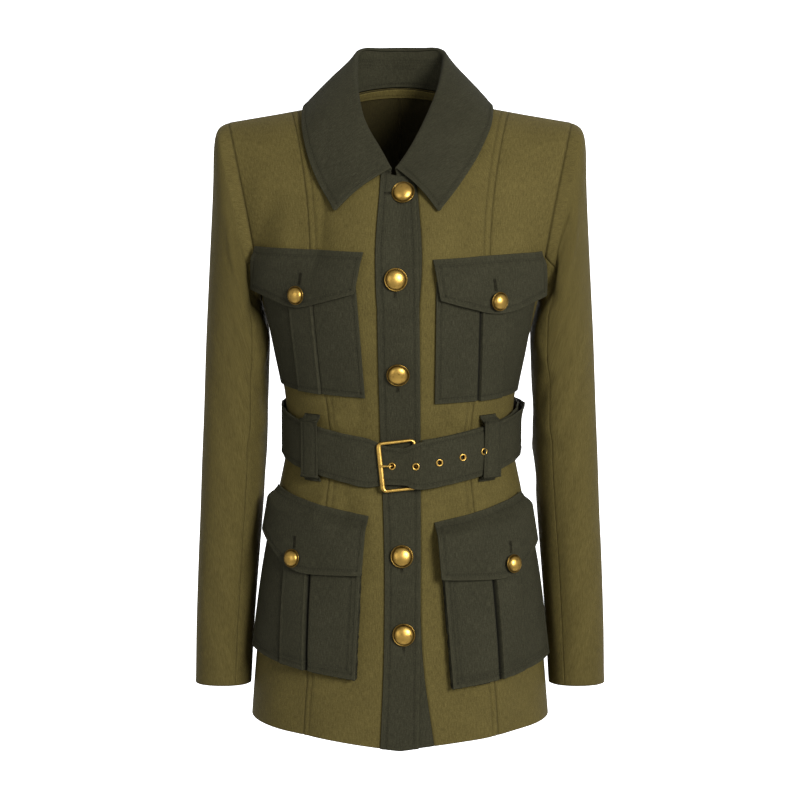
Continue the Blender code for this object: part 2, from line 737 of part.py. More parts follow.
def make_collar(material):
    shares, neck = collar_columns()
    left_neck = neck.copy()
    neck[-1] = mirrored(front_neck_at(RIGHT_STAND_END))
    left_neck[-1] = front_neck_at(LEFT_STAND_END)
    fold = np.array([smooth(COLLAR_FOLD, share) for share in shares])
    left_fold = fold.copy()
    left_fold[:, 0] -= [float(smooth(LEFT_FOLD_INSET, share)[0]) for share in shares]
    base = whole_collar(left_neck, neck)
    top = whole_collar(left_fold, fold)
    grid = np.stack([base + (top - base) * share for share in np.linspace(0.0, 1.0, 4)])
    inward = -grid_normals(grid)
    if np.dot(inward[1, len(top) // 2], (0.0, -1.0, 0.0)) < 0:
        inward = -inward
    grid[0] += np.array((0.0, 0.0, SEAM_GAP * 1.5))
    inner = grid + inward * COLLAR_CLOTH
    wall("collar_stand", inner, grid, material)

    outward = -inward[-1]
    upward = unit(inner[-1] - inner[-2])
    spread = np.abs(np.linspace(-1.0, 1.0, len(top)))[:, None]
    radius = COLLAR_ROLL + (COLLAR_ROLL_END - COLLAR_ROLL) * spread ** 3
    start = inner[-1] + upward * SEAM_GAP
    rows = []
    roll_normals = []
    for angle in np.radians((0.0, 60.0, 120.0)):
        rows.append(start + outward * radius * (1 - math.cos(angle)) + upward * radius * math.sin(angle))
        roll_normals.append(upward * math.sin(angle) - outward * math.cos(angle))
    right_edge = np.array([leaf_edge(share, 0.0) for share in shares])
    left_edge = np.array([leaf_edge(share, 1.0) for share in shares])
    edge = whole_collar(left_edge, right_edge)
    lean = np.array([smooth(COLLAR_LIFT_LEAN, share) for share in shares])
    lean = np.concatenate([lean[::-1], lean[1:]])
    level_out = unit(outward * np.array((1.0, 1.0, 0.0)))
    lift_out = unit(level_out + np.array((0.0, 0.0, 1.0)) * lean)
    edge = edge + lift_out * COLLAR_LIFT
    begin = rows[-1]
    for step in np.linspace(0.0, 1.0, LEAF_ROWS + 1)[1:]:
        swell = COLLAR_BULGE * math.sin(math.pi * step)
        rows.append(begin + (edge - begin) * step + lift_out * swell)
    leaf = np.stack(rows)
    normals = grid_normals(leaf)
    if normals[-1, len(top) // 2, 1] < 0:
        normals = -normals
    normals[:len(roll_normals)] = roll_normals
    wall("collar_leaf", leaf, leaf - normals * COLLAR_CLOTH, material)


def make_neck_facing(material):
    """Narrow strip inside the back neck, below the collar stand."""
    levels = (2.0 - FACING_SHARE, 2.0 - FACING_SHARE / 2, FACING_TOP_LEVEL)
    rows = []
    for level in levels:
        half = column_shares(level, 0.0)[:NECK_COLUMNS]
        rows.append(skin_row(level, False, np.concatenate([-half[:0:-1], half])))
    points = np.stack(rows)
    inward = grid_normals(points)
    far = points + inward * (BODY_CLOTH + FACING_OFFSET)
    wall("neck_facing", far + inward * FACING_CLOTH, far, material)


# Pockets


def pleat_columns(width, middle):
    left = middle - PLEAT_HALF_WIDTH
    right = middle + PLEAT_HALF_WIDTH
    outer_left = np.linspace(0.0, left - PLEAT_FOLD, 5)
    centre = np.linspace(left + PLEAT_FOLD, right - PLEAT_FOLD, 4)
    outer_right = np.linspace(right + PLEAT_FOLD, width, 5)
    return np.concatenate([outer_left, centre, outer_right])


def pleat_rise(place, middle):
    return PLEAT_RAISE if abs(place - middle) < PLEAT_HALF_WIDTH else 0.0


def bag_point(bag, place, drop, lift):
    """Point of a pocket bag: place across from its inner edge, drop from its top, lift off the body."""
    side, inner_edge, width, top, outer_drop, height, slant = bag
    distance = inner_edge + place + slant * drop / height
    level = top - outer_drop * place / width - drop
    return on_body(side * distance, level, lift)


def make_chest_bag(word, material):
    bag = CHEST_BAGS[word]
    width, height = bag[2], bag[5]
    middle = width * 0.5
    drops = np.linspace(0.0, height, 8)
    outer = []
    inner = []
    for drop in drops:
        places = pleat_columns(width, middle)
        lifts = [CHEST_BAG_LIFT + TRIM_CLOTH + pleat_rise(place, middle) for place in places]
        outer.append([bag_point(bag, place, drop, lift) for place, lift in zip(places, lifts)])
        inner.append([bag_point(bag, place, drop, CHEST_BAG_LIFT) for place in places])
    wall("chest_pocket_" + word, np.array(outer), np.array(inner), material)


def lower_depth(share, fall):
    """Depth of a lower bag at a share of its width and height, flatter towards its outer top corner."""
    return LOWER_BAG_DEPTH * (1.0 - LOWER_BAG_TAPER * share ** 3 * (1.0 - fall))


def make_lower_bag(word, material):
    """Bellows bag: a front panel held off the body by a gusset round its sides and bottom."""
    bag = LOWER_BAGS[word]
    width, height = bag[2], bag[5]
    middle = width * 0.5
    front_places = pleat_columns(width, middle)
    front_drops = np.linspace(0.0, height, 8)
    places = np.concatenate([[0.0], front_places, [width]])
    drops = np.concatenate([front_drops, [height]])
    outer = []
    inner = []
    for r, drop in enumerate(drops):
        outer_row = []
        inner_row = []
        for c, place in enumerate(places):
            on_rim = r == len(drops) - 1 or c in (0, len(places) - 1)
            depth = lower_depth(place / width, drop / height)
            lift = CHEST_BAG_LIFT if on_rim else depth + pleat_rise(place, middle)
            outer_row.append(bag_point(bag, place, drop, lift))
            inside_place = min(max(place, TRIM_CLOTH), width - TRIM_CLOTH)
            inside_drop = min(drop, height - TRIM_CLOTH)
            inside_lift = CHEST_BAG_LIFT if on_rim else depth - TRIM_CLOTH
            inner_row.append(bag_point(bag, inside_place, inside_drop, inside_lift))
        outer.append(outer_row)
        inner.append(inner_row)
    wall("lower_pocket_" + word, np.array(outer), np.array(inner), material)


def flap_edge(flap, share):
    """Height of the flap below its top at a share of its width."""
    inner_height, point_height, outer_height, point = flap[5:9]
    knots = (0.0, point, 1.0)
    return float(np.interp(share, knots, (inner_height, point_height, outer_height)))


def flap_point(flap, share, fall, lift):
    side, inner_edge, width, top, outer_drop = flap[:5]
    slant = flap[9]
    drop = flap_edge(flap, share) * fall
    distance = inner_edge + width * share + slant * fall
    level = top - outer_drop * share - drop
    return on_body(side * distance, level, lift)


def flap_lift(share, fall, bag_lift, flare):
    """Inner face of a flap: close to the body at its top, over the bag below, flared at its outer end."""
    rise = min(1.0, fall / FLAP_RISE_SHARE)
    rise = rise * rise * (3 - 2 * rise)
    over_bag = FLAP_TOP_LIFT + (bag_lift + FLAP_CLEARANCE - FLAP_TOP_LIFT) * rise
    top_flare, bottom_flare = flare
    return over_bag + share ** 3 * (top_flare + (bottom_flare - top_flare) * fall)


def make_flap(name, flap, lift_of, material):
    point = flap[8]
    shares = np.concatenate([np.linspace(0.0, point, 7), np.linspace(point, 1.0, 6)[1:]])
    falls = (0.0, 0.1, 0.2, 0.3, 0.65, 1.0)
    outer = []
    inner = []
    for fall in falls:
        lifts = [lift_of(share, fall) for share in shares]
        inner.append([flap_point(flap, share, fall, lift) for share, lift in zip(shares, lifts)])
        tops = [lift + TRIM_CLOTH for lift in lifts]
        outer.append([flap_point(flap, share, fall, top) for share, top in zip(shares, tops)])
    return wall(name, np.array(outer), np.array(inner), material)


def make_pockets(cloth, metal):
    places = (("chest", CHEST_FLAPS, CHEST_FLARE), ("lower", LOWER_FLAPS, LOWER_FLARE))
    for word in ("right", "left"):
        make_chest_bag(word, cloth)
        make_lower_bag(word, cloth)
        for place, flaps, flare in places:
            flap = flaps[word]
            bag = LOWER_BAGS[word]

            def lift_of(share, fall):
                depth = CHEST_BAG_LIFT + TRIM_CLOTH
                if flaps is LOWER_FLAPS:
                    on_bag = min(max((flap[1] + flap[2] * share - bag[1]) / bag[2], 0.0), 1.0)
                    depth = lower_depth(on_bag, FLAP_BAG_SHARE * fall)
                return flap_lift(share, fall, depth + PLEAT_RAISE, flare)

            make_flap(place + "_flap_" + word, flap, lift_of, cloth)
            fall = 1.0 - FLAP_BUTTON_UP / flap_edge(flap, flap[8])
            out = lift_of(flap[8], fall) + TRIM_CLOTH
            seat = flap_point(flap, flap[8], fall, out)
            far = flap_point(flap, flap[8], fall, out + 0.01)
            make_button(place + "_button_" + word, seat, far - seat, POCKET_BUTTON_RADIUS, metal)


# Buttons and metal


def turned(name, profile, segments, seat, axis, material):
    """Solid of revolution from (radius, height) pairs, top first, closed on its own axis."""
    builder = bmesh.new()
    verts = [builder.verts.new((radius, 0.0, height)) for radius, height in profile]
    for first, second in zip(verts, verts[1:]):
        builder.edges.new((first, second))
    bmesh.ops.spin(builder, geom=builder.verts[:] + builder.edges[:], cent=(0, 0, 0), axis=(0, 0, 1),
                   angle=2 * math.pi, steps=segments, use_merge=True)
    bmesh.ops.remove_doubles(builder, verts=builder.verts[:], dist=1e-6)
    turn = Vector(axis).normalized().to_track_quat("Z", "Y").to_matrix().to_4x4()
    builder.transform(Matrix.Translation(Vector(seat)) @ turn)
    return link(builder, name, material)


def make_button(name, seat, axis, radius, material):
    """Domed button with a raised rim on a short shank."""
    profile = (
        (0.0, 0.0082), (0.42 * radius, 0.0076), (0.70 * radius, 0.0060), (0.80 * radius, 0.0047),
        (0.90 * radius, 0.0052), (radius, 0.0040), (0.94 * radius, 0.0026), (0.35 * radius, 0.0022),
        (0.32 * radius, 0.0004), (0.0, 0.0004),
    )
    return turned(name, profile, BUTTON_SEGMENTS, seat, axis, material)


def make_front_buttons(material):
    lift = PLACKET_LIFT + TRIM_CLOTH
    for number, (place, height) in enumerate(zip(FRONT_BUTTON_PLACES, FRONT_BUTTON_HEIGHTS), 1):
        seat = on_body(place, height, lift)
        far = on_body(place, height, lift + 0.01)
        make_button("front_button_%d" % number, seat, far - seat, FRONT_BUTTON_RADIUS, material)


def tube(name, points, radius, material, cyclic=False):
    """Round wire through points, as a closed mesh."""
    path = bpy.data.curves.new(name, "CURVE")
    path.dimensions = "3D"
    path.bevel_depth = radius
    path.bevel_resolution = 2
    path.use_fill_caps = not cyclic
    spline = path.splines.new("POLY")
    spline.points.add(len(points) - 1)
    for slot, point in zip(spline.points, points):
        slot.co = (*point, 1.0)
    spline.use_cyclic_u = cyclic
    path.materials.append(material)
    item = bpy.data.objects.new(name, path)
    bpy.context.scene.collection.objects.link(item)
    return item


# Belt


def belt_line(angle):
    """Height of the middle of the belt at an angle round the body from centre front."""
    x_share = min(1.0, abs(math.remainder(angle, 2 * math.pi)) / (math.pi / 2))
    rise = math.sqrt(x_share ** 2 + BELT_BEND ** 2) - BELT_BEND
    return BELT_FRONT_HEIGHT + (BELT_SIDE_HEIGHT - BELT_FRONT_HEIGHT) * min(1.0, rise / (1.0 - BELT_BEND))


def belt_point(angle, across, standoff):
    """Point of the belt: angle round the body, across -1 to 1 from its lower edge, distance off the body."""
    turn = math.remainder(angle, 2 * math.pi)
    half = BELT_HALF_HEIGHT
    if angle > math.pi and abs(turn) < math.pi / 2:
        half = float(smooth(BELT_PINCH, BELT_FRONT_REACH * math.sin(turn))[0])
    height = belt_line(angle) + across * half
    half_width, front_depth, back_depth = smooth(BODY_SECTIONS, height)
    depth = front_depth if abs(turn) <= math.pi / 2 else back_depth
    sine, cosine = math.sin(turn), math.cos(turn)
    reach = (abs(sine / half_width) ** ROUNDNESS + abs(cosine / depth) ** ROUNDNESS) ** (-1.0 / ROUNDNESS)
    normal = np.array((
        math.copysign(abs(sine) ** (ROUNDNESS - 1), sine) / half_width ** ROUNDNESS,
        -math.copysign(abs(cosine) ** (ROUNDNESS - 1), cosine) / depth ** ROUNDNESS,
        0.0,
    ))
    point = np.array((reach * sine, -reach * cosine, height))
    return point + unit(normal) * standoff


def front_angle(x):
    """Angle round the body at which the belt's front lies at x."""
    angles = np.linspace(0.0, math.pi / 2, 46)
    reach = [belt_point(angle, 0.0, BELT_INNER_STANDOFF)[0] for angle in angles]
    return math.copysign(float(np.interp(abs(x), reach, angles)), x)


def belt_stations():
    """Angle and stand-off of each column: inner layer first, once round, then the tail over it."""
    start = front_angle(BELT_START_X)
    step = 2 * math.pi / BELT_TURN_COLUMNS
    first = math.ceil(start / step + 0.3) * step
    approach = 2 * math.pi + front_angle(BELT_BUCKLE_RISE[0][0])
    stations = [(start, BELT_INNER_STANDOFF + BELT_START_LIFT)]
    angle = first
    while angle < approach - step * 0.4:
        early = max(0.0, 1.0 - (angle - start) / 0.4)
        stations.append((angle, BELT_INNER_STANDOFF + BELT_START_LIFT * early))
        angle += step
    for x in np.linspace(BELT_BUCKLE_RISE[0][0], BELT_BUCKLE_RISE[-1][0], 23):
        stations.append((2 * math.pi + front_angle(x), float(smooth(BELT_BUCKLE_RISE, x)[0])))
    last = stations[-1][0]
    angle = math.ceil(last / step + 0.4) * step
    for _ in range(BELT_TAIL_COLUMNS):
        stations.append((angle, BELT_TAIL_STANDOFF))
        angle += step
    return stations


def strap_edge(x, across, standoff_at):
    return belt_point(2 * math.pi + front_angle(x), across, standoff_at(x))


def strap_middle(x, standoff_at):
    return (strap_edge(x, 1.0, standoff_at) + strap_edge(x, -1.0, standoff_at)) / 2


def front_belt_frame(x, standoff_at):
    """Place on the belt's front at x, its outward axis and its upward axis."""
    step = 0.003
    up = unit(strap_edge(x, 1.0, standoff_at) - strap_edge(x, -1.0, standoff_at))
    after = strap_middle(x + step, standoff_at)
    before = strap_middle(x - step, standoff_at)
    out = unit(np.cross(after - before, up))
    return strap_middle(x, standoff_at), out, up


def tail_standoff(x):
    if x < BELT_BUCKLE_RISE[-1][0]:
        return float(smooth(BELT_BUCKLE_RISE, x)[0])
    return BELT_TAIL_STANDOFF


def make_belt(cloth, metal):
    stations = belt_stations()
    across = (-1.0, 1.0)
    inner = []
    outer = []
    for angle, standoff in stations:
        inner.append([belt_point(angle, place, standoff) for place in across])
        outer.append([belt_point(angle, place, standoff + BELT_CLOTH) for place in across])
    belt = wall("belt", np.array(outer), np.array(inner), cloth)
    for number, x in enumerate(EYELET_PLACES, 1):
        seat, out, _ = front_belt_frame(x, tail_standoff)
        middle = seat + out * (BELT_CLOTH / 2)
        bore_half = BELT_CLOTH / 2 + 0.0005
        bore = ((0.0, bore_half), (EYELET_HOLE, bore_half), (EYELET_HOLE, -bore_half), (0.0, -bore_half))
        cutter = turned("eyelet_bore_%d" % number, bore, EYELET_SEGMENTS, middle, out, metal)
        cutter.hide_render = True
        cutter.display_type = "WIRE"
        cut = belt.modifiers.new("eyelet_%d" % number, "BOOLEAN")
        cut.operation = "DIFFERENCE"
        cut.object = cutter
        top = BELT_CLOTH / 2
        profile = (
            (0.0021, top + 0.0004), (0.0026, top + 0.0012), (0.0034, top + 0.0013), (0.0040, top + 0.0006),
            (0.0028, top + 0.0006), (0.0028, -top), (0.0021, -top), (0.0021, top + 0.0004),
        )
        turned("eyelet_%d" % number, profile, EYELET_SEGMENTS, middle, out, metal)


def make_belt_loop(word, material):
    """Upright strip that holds the belt to the body."""
    place = LOOP_PLACES[word]
    side = math.copysign(1.0, place)
    over = (BELT_TAIL_STANDOFF if side > 0 else BELT_INNER_STANDOFF) + BELT_CLOTH + LOOP_SLACK
    half_width, depth = LOOP_SECTION
    angle = math.atan2(abs(place), math.sqrt(1.0 - (place / half_width) ** 2) * depth)
    centre = belt_line(angle)
    outer = []
    inner = []
    for rise, share in LOOP_PROFILE:
        height = centre + rise
        line = level_line(height, True)
        travelled = np.linspace(0.0, length_of(line), len(line))
        middle_distance = float(np.interp(abs(place), line[:, 0], travelled))
        lift = LOOP_BASE_LIFT + (over - LOOP_BASE_LIFT) * share
        distances = [middle_distance + LOOP_HALF_WIDTH * part for part in (-1.0, -0.33, 0.33, 1.0)]
        inner.append([on_body(side * distance, height, lift) for distance in distances])
        outer.append([on_body(side * distance, height, lift + LOOP_CLOTH) for distance in distances])
    wall("belt_loop_" + word, np.array(outer), np.array(inner), material)


def make_buckle(material):
    """Rectangular frame over the strap, its right bar under the tail, with a prong through one eyelet."""
    centre, out, up = front_belt_frame(BUCKLE_CENTRE_X, lambda x: 0.0)
    right = unit(np.cross(up, out))
    turn_cos, turn_sin = math.cos(BUCKLE_TILT), math.sin(BUCKLE_TILT)

    def place(across, rise, standoff):
        x = across * turn_cos - rise * turn_sin
        z = across * turn_sin + rise * turn_cos
        return centre + right * x + up * z + out * standoff

    half_width, half_height = BUCKLE_WIDTH / 2, BUCKLE_HEIGHT / 2
    path = []
    for sign_x, sign_z, start in ((1, 1, 0.0), (-1, 1, 90.0), (-1, -1, 180.0), (1, -1, 270.0)):
        for step in (0.0, 45.0, 90.0):
            angle = math.radians(start + step)
            across = sign_x * (half_width - BUCKLE_CORNER) + BUCKLE_CORNER * math.cos(angle)
            rise = sign_z * (half_height - BUCKLE_CORNER) + BUCKLE_CORNER * math.sin(angle)
            share = 0.5 - across / BUCKLE_WIDTH
            standoff = BUCKLE_PIVOT_STANDOFF + (BUCKLE_BAR_STANDOFF - BUCKLE_PIVOT_STANDOFF) * share
            path.append(place(across, rise, standoff))
    tube("buckle_frame", path, BUCKLE_WIRE, material, cyclic=True)

    eyelet_x = EYELET_PLACES[0] - BUCKLE_CENTRE_X
    strap = tail_standoff(EYELET_PLACES[0])
    clear = BUCKLE_WIRE + PRONG_WIRE + PRONG_CLEARANCE
    route = []
    for degrees in (150.0, 90.0, 30.0, -30.0, -90.0, -150.0):
        angle = math.radians(degrees)
        route.append((half_width + clear * math.cos(angle), BUCKLE_PIVOT_STANDOFF + clear * math.sin(angle)))
    route += [
        (eyelet_x + 0.006, BUCKLE_PIVOT_STANDOFF - clear + 0.0002),
        (eyelet_x + 0.0012, strap - 0.0012),
        (eyelet_x, strap + BELT_CLOTH / 2),
        (eyelet_x - 0.0016, strap + BELT_CLOTH + 0.0030),
        (-half_width + 0.004, BUCKLE_BAR_STANDOFF + clear),
        (-half_width - 0.0022, BUCKLE_BAR_STANDOFF + clear),
    ]
    wire = [place(across, across * -turn_sin, standoff) for across, standoff in route]
    tube("buckle_prong", wire, PRONG_WIRE, material)


def main():
    clear_scene()
    olive = make_material("body_cloth", OLIVE, 0.85, 0.0)
    charcoal = make_material("contrast_cloth", CHARCOAL, 0.85, 0.0)
    gold = make_material("gold_metal", GOLD, 0.3, 1.0)
    make_body(olive)
    make_plackets(charcoal)
    make_collar(charcoal)
    make_neck_facing(olive)
    make_pockets(charcoal, gold)
    make_front_buttons(gold)
    make_belt(charcoal, gold)
    make_belt_loop("right", charcoal)
    make_belt_loop("left", charcoal)
    make_buckle(gold)


main()
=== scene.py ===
"""Looks of the belted patch pocket jacket: creased cloth shells with weave and stitching, and gold metal.

Metres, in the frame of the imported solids: +Z up, the front faces -Y, +X is the wearer's left.
"""
import math
from collections import namedtuple

import bmesh
import bpy
import numpy as np
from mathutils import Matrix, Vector


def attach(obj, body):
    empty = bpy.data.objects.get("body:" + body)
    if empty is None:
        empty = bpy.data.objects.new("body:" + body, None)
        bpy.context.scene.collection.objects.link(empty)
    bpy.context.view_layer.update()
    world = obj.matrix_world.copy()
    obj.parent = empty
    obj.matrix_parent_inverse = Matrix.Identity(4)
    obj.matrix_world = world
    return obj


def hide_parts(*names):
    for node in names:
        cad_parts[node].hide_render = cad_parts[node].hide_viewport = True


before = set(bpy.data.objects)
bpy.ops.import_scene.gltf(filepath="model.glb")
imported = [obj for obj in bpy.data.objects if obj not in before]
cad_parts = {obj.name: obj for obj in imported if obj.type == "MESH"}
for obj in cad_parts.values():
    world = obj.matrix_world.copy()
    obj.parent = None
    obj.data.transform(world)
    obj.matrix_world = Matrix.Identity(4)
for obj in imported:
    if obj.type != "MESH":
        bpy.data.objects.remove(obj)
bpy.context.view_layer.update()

HALVES = (("right", -1), ("left", 1))
BACKS = ("back_left", "back_right")
ENDS = ("first_column", "last_column")
SIDES = ("first_row", "last_row") + ENDS

# Cloth
BODY_CLOTH = 0.0018
TRIM_CLOTH = 0.0017
BAG_CLOTH = TRIM_CLOTH * 0.8
COLLAR_CLOTH = 0.0020
BELT_CLOTH = 0.0020
FACING_CLOTH = 0.0012
LOOP_CLOTH = 0.0015
SEAM_GAP = 0.0003

# Body sections: height, half width, front depth, back depth
BODY_SECTIONS = (
    (-0.680, 0.1675, 0.129, 0.123),
    (-0.600, 0.1615, 0.127, 0.121),
    (-0.500, 0.1510, 0.116, 0.113),
    (-0.420, 0.1355, 0.102, 0.100),
    (-0.362, 0.1250, 0.094, 0.091),
    (-0.310, 0.1270, 0.102, 0.095),
    (-0.255, 0.1395, 0.114, 0.101),
    (-0.205, 0.1520, 0.118, 0.105),
)
HEM_HEIGHT = BODY_SECTIONS[0][0]
ARMPIT_HEIGHT = BODY_SECTIONS[-1][0]
ROUNDNESS = 2.25
HEM_SIDE_RISE = 0.006
HEM_QUARTER_RISE = 0.009
HEM_RISE_LEVEL = 0.15

# Neck and shoulders
NECK_FRONT = np.array((0.0, -0.078, -0.070))
NECK_SIDE = np.array((0.062, 0.004, 0.008))
NECK_BACK = np.array((0.0, 0.062, 0.0235))
NECK_POWER = 0.9
CHEST_BULGE = 0.0115
BLADE_BULGE = 0.019
FRONT_LEAN = 1.15
BACK_LEAN = 2.1
NECK_SHARE = 0.47
NECK_FRACTION = 0.75

# Princess seam: body level (0 hem, 1 armpit, 2 shoulder) and its share of the way from centre to side
PRINCESS_SEAM = ((0.00, 0.46), (0.65, 0.43), (1.00, 0.48), (1.45, 0.56), (2.00, 0.708))

# Sleeve rings: row, outer x, outer z, inner x, inner z, centre y, front depth, back depth
SLEEVE_RINGS = (
    (0, 0.1870, -0.0145, 0.1520, -0.2050, 0.003, 0.056, 0.060),
    (1, 0.1970, -0.0222, 0.1525, -0.2110, 0.003, 0.058, 0.061),
    (2, 0.2020, -0.0400, 0.1512, -0.2190, 0.004, 0.059, 0.061),
    (3, 0.2040, -0.0800, 0.1490, -0.2300, 0.005, 0.060, 0.061),
    (4, 0.2065, -0.1300, 0.1448, -0.2500, 0.006, 0.059, 0.060),
    (5, 0.2100, -0.1950, 0.1446, -0.2750, 0.008, 0.058, 0.059),
    (6, 0.2140, -0.2600, 0.1458, -0.3100, 0.009, 0.056, 0.057),
    (7, 0.2178, -0.3250, 0.1478, -0.3550, 0.009, 0.054, 0.055),
    (8, 0.2218, -0.3900, 0.1515, -0.4080, 0.008, 0.052, 0.053),
    (9, 0.2246, -0.4600, 0.1560, -0.4680, 0.006, 0.050, 0.051),
    (10, 0.2277, -0.5430, 0.1618, -0.5460, 0.002, 0.048, 0.049),
    (11, 0.2308, -0.6400, 0.1682, -0.6410, -0.003, 0.047, 0.048),
)
CUFF_ROW = SLEEVE_RINGS[-1][0]
SLEEVE_SQUARENESS = 2.2
ARMHOLE_SWAY = 0.003
ARMHOLE_HOLLOW = 0.006
CUFF_RISE = 0.008
UNDER_SLEEVE_TURN = 1.0 / 3.0

# Edges of the overlapping placket: body level, free edge, buttoned edge, from the centre line
PLACKET_OVER_EDGES = (
    (0.00, -0.0212, 0.0200),
    (0.20, -0.0174, 0.0212),
    (0.40, -0.0164, 0.0220),
    (0.75, -0.0214, 0.0216),
    (1.00, -0.0237, 0.0200),
    (1.30, -0.0230, 0.0175),
    (1.60, -0.0240, 0.0178),
    (2.00, -0.0260, 0.0195),
)
PLACKET_LIFT = 0.0007
# The underlap: its free edge from the centre line, how deep it lies and where it steps down
UNDERLAP_START = -0.020
UNDERLAP_DEPTH = 0.0027
UNDERLAP_STEP = (0.004, 0.013)
# Underlap seam: body level, distance from the centre line
UNDERLAP_SEAM = ((0.00, 0.0370), (0.22, 0.0240), (0.50, 0.0215), (2.00, 0.0215))

# Collar fold line: share of the half collar from centre back, x, y, z
COLLAR_FOLD = (
    (0.00, 0.000, 0.0550, 0.0630),
    (0.13, 0.021, 0.0535, 0.0630),
    (0.26, 0.041, 0.0475, 0.0630),
    (0.33, 0.0465, 0.0390, 0.0590),
    (0.45, 0.0475, 0.0180, 0.0455),
    (0.60, 0.046, -0.014, 0.018),
    (0.75, 0.038, -0.042, -0.015),
    (0.90, 0.020, -0.066, -0.047),
    (1.00, 0.010, -0.078, -0.063),
)
# How far the left fold line lies inside the right one: share of the half collar, distance
LEFT_FOLD_INSET = (
    (0.00, 0.0), (0.45, 0.0005), (0.60, 0.0055), (0.75, 0.0115), (0.90, 0.0110), (1.00, 0.0140),
)
# Collar leaf edge: share of the half collar, x, z; it lies on the back up to LEAF_BACK_SHARE
COLLAR_EDGE = (
    (0.00, 0.0000, -0.0120),
    (0.15, 0.0360, -0.0125),
    (0.30, 0.0780, -0.0090),
    (0.40, 0.1010, 0.0000),
    (0.52, 0.1030, -0.0150),
    (0.64, 0.1000, -0.0340),
    (0.76, 0.0935, -0.0580),
    (0.88, 0.0820, -0.0835),
    (1.00, 0.0640, -0.1095),
)
LEAF_BACK_SHARE = 0.40
# How far the left leaf falls short of the right one: share of the half collar, distance
LEFT_LEAF_INSET = (
    (0.00, 0.0), (0.40, 0.0040), (0.52, 0.0055), (0.70, 0.0125), (0.88, 0.0225), (1.00, 0.0272),
)
# Lean of the leaf's lift towards straight up: share of the half collar, amount
COLLAR_LIFT_LEAN = ((0.00, 0.7), (0.28, 1.4), (0.40, 3.5), (0.54, 1.6), (0.75, 0.8), (1.00, 0.5))
COLLAR_LIFT = 0.0062
COLLAR_ROLL = 0.0036
COLLAR_ROLL_END = 0.0020
ROLL_TURN = 120.0
ROLL_STEPS = 10
COLLAR_BULGE = 0.004
# Share of the half collar where the leaf's bulge grows towards the front, and over what share
BULGE_START = 0.30
BULGE_RUN = 0.35
BULGE_BACK_SHARE = 0.4
LEAF_RIPPLE_RISE = 0.02
# Where the two ends of the stand lie, across the front
RIGHT_STAND_END = -0.0095
LEFT_STAND_END = -0.0040
LEAF_TIP_RADIUS = 0.005
FACING_SHARE = 0.045
FACING_REACH = 5 / 6
FACING_OFFSET = 0.0012
FACING_TOP_LEVEL = 1.998

# Pocket bags and flaps: side is -1 on the right and 1 on the left, inner is the inner edge's distance from
# the centre line, drop is that of the outer end, slant is that of the bottom towards the side
Bag = namedtuple("Bag", "side inner width top drop height slant")
CHEST_BAGS = {
    "right": Bag(-1, 0.0465, 0.1300, -0.169, -0.006, 0.1325, -0.010),
    "left": Bag(1, 0.0375, 0.1300, -0.177, -0.004, 0.1310, -0.001),
}
LOWER_BAGS = {
    "right": Bag(-1, 0.0395, 0.1400, -0.456, -0.014, 0.1445, 0.007),
    "left": Bag(1, 0.0430, 0.1370, -0.463, -0.014, 0.1475, 0.012),
}
Flap = namedtuple("Flap", "side inner width top drop inner_height height outer_height point slant")
CHEST_FLAPS = {
    "right": Flap(-1, 0.0380, 0.1310, -0.1470, -0.003, 0.0420, 0.0625, 0.0445, 0.49, 0.008),
    "left": Flap(1, 0.0340, 0.1300, -0.1545, -0.0055, 0.0415, 0.0625, 0.0465, 0.49, 0.007),
}
LOWER_FLAPS = {
    "right": Flap(-1, 0.0330, 0.1240, -0.4285, -0.020, 0.0620, 0.0765, 0.0500, 0.58, 0.0055),
    "left": Flap(1, 0.0365, 0.1160, -0.4355, -0.021, 0.0595, 0.0780, 0.0540, 0.65, 0.005),
}
# How far the outer end of a flap stands off: at its top, at its bottom
CHEST_FLARE = (0.0014, 0.0065)
LOWER_FLARE = (0.0030, 0.0025)
CHEST_BAG_LIFT = 0.0013
LOWER_BAG_DEPTH = 0.0110
LOWER_BAG_TAPER = 0.7
LOWER_SAG = 0.0022
FLAP_SAG_SHARE = 0.7
FLAP_BAG_SHARE = 0.5
FLAP_CLEARANCE = 0.0012
FLAP_TOP_LIFT = 0.0010
FLAP_RISE_SHARE = 0.3
FLAP_WAVE = 0.0014
FLAP_WAVE_TURNS = 11.0
FLAP_POINT_ROUND = 0.13
CORNER_RADIUS = 0.0025
# Box pleat: its raise, the step and roll at its folds, and the painted highlight and wear of a fold (place,
# width, amount)
PLEAT_RAISE = 0.0016
PLEAT_HALF_WIDTH = 0.015
PLEAT_STEP = 0.0008
PLEAT_ROLL = 0.0006
PLEAT_ROLL_WIDTH = 0.0016
PLEAT_ROLL_PLACE = 0.0014
# Columns near a fold, gaps from it to the columns at the bag's ends and in the pleat, and count of these
PLEAT_NEAR = np.arange(-0.0050, 0.00501, 0.0004)
PLEAT_END_GAP = 0.0052
PLEAT_MIDDLE_GAP = 0.0055
PLEAT_MIDDLE_COLUMNS = 7
FOLD_WEAR_AND_HIGHLIGHT = (0.0010, 0.0009, 0.13)
# Groove beside a fold: depth, width, how dark its painted shade is
CLOSED_FOLD = (0.0007, 0.0008, 0.30)
CHEST_SLIT = (0.0014, 0.0013, 0.85)
LOWER_SLIT = (0.0036, 0.0016, 0.88)
# Gusset of a lower bag: rows of the turn, how dark its painted shade gets, share of the outward way in its
# normals
GUSSET_STEPS = 7
GUSSET_SHADE = 0.6
GUSSET_OUT_SHARE = 0.6
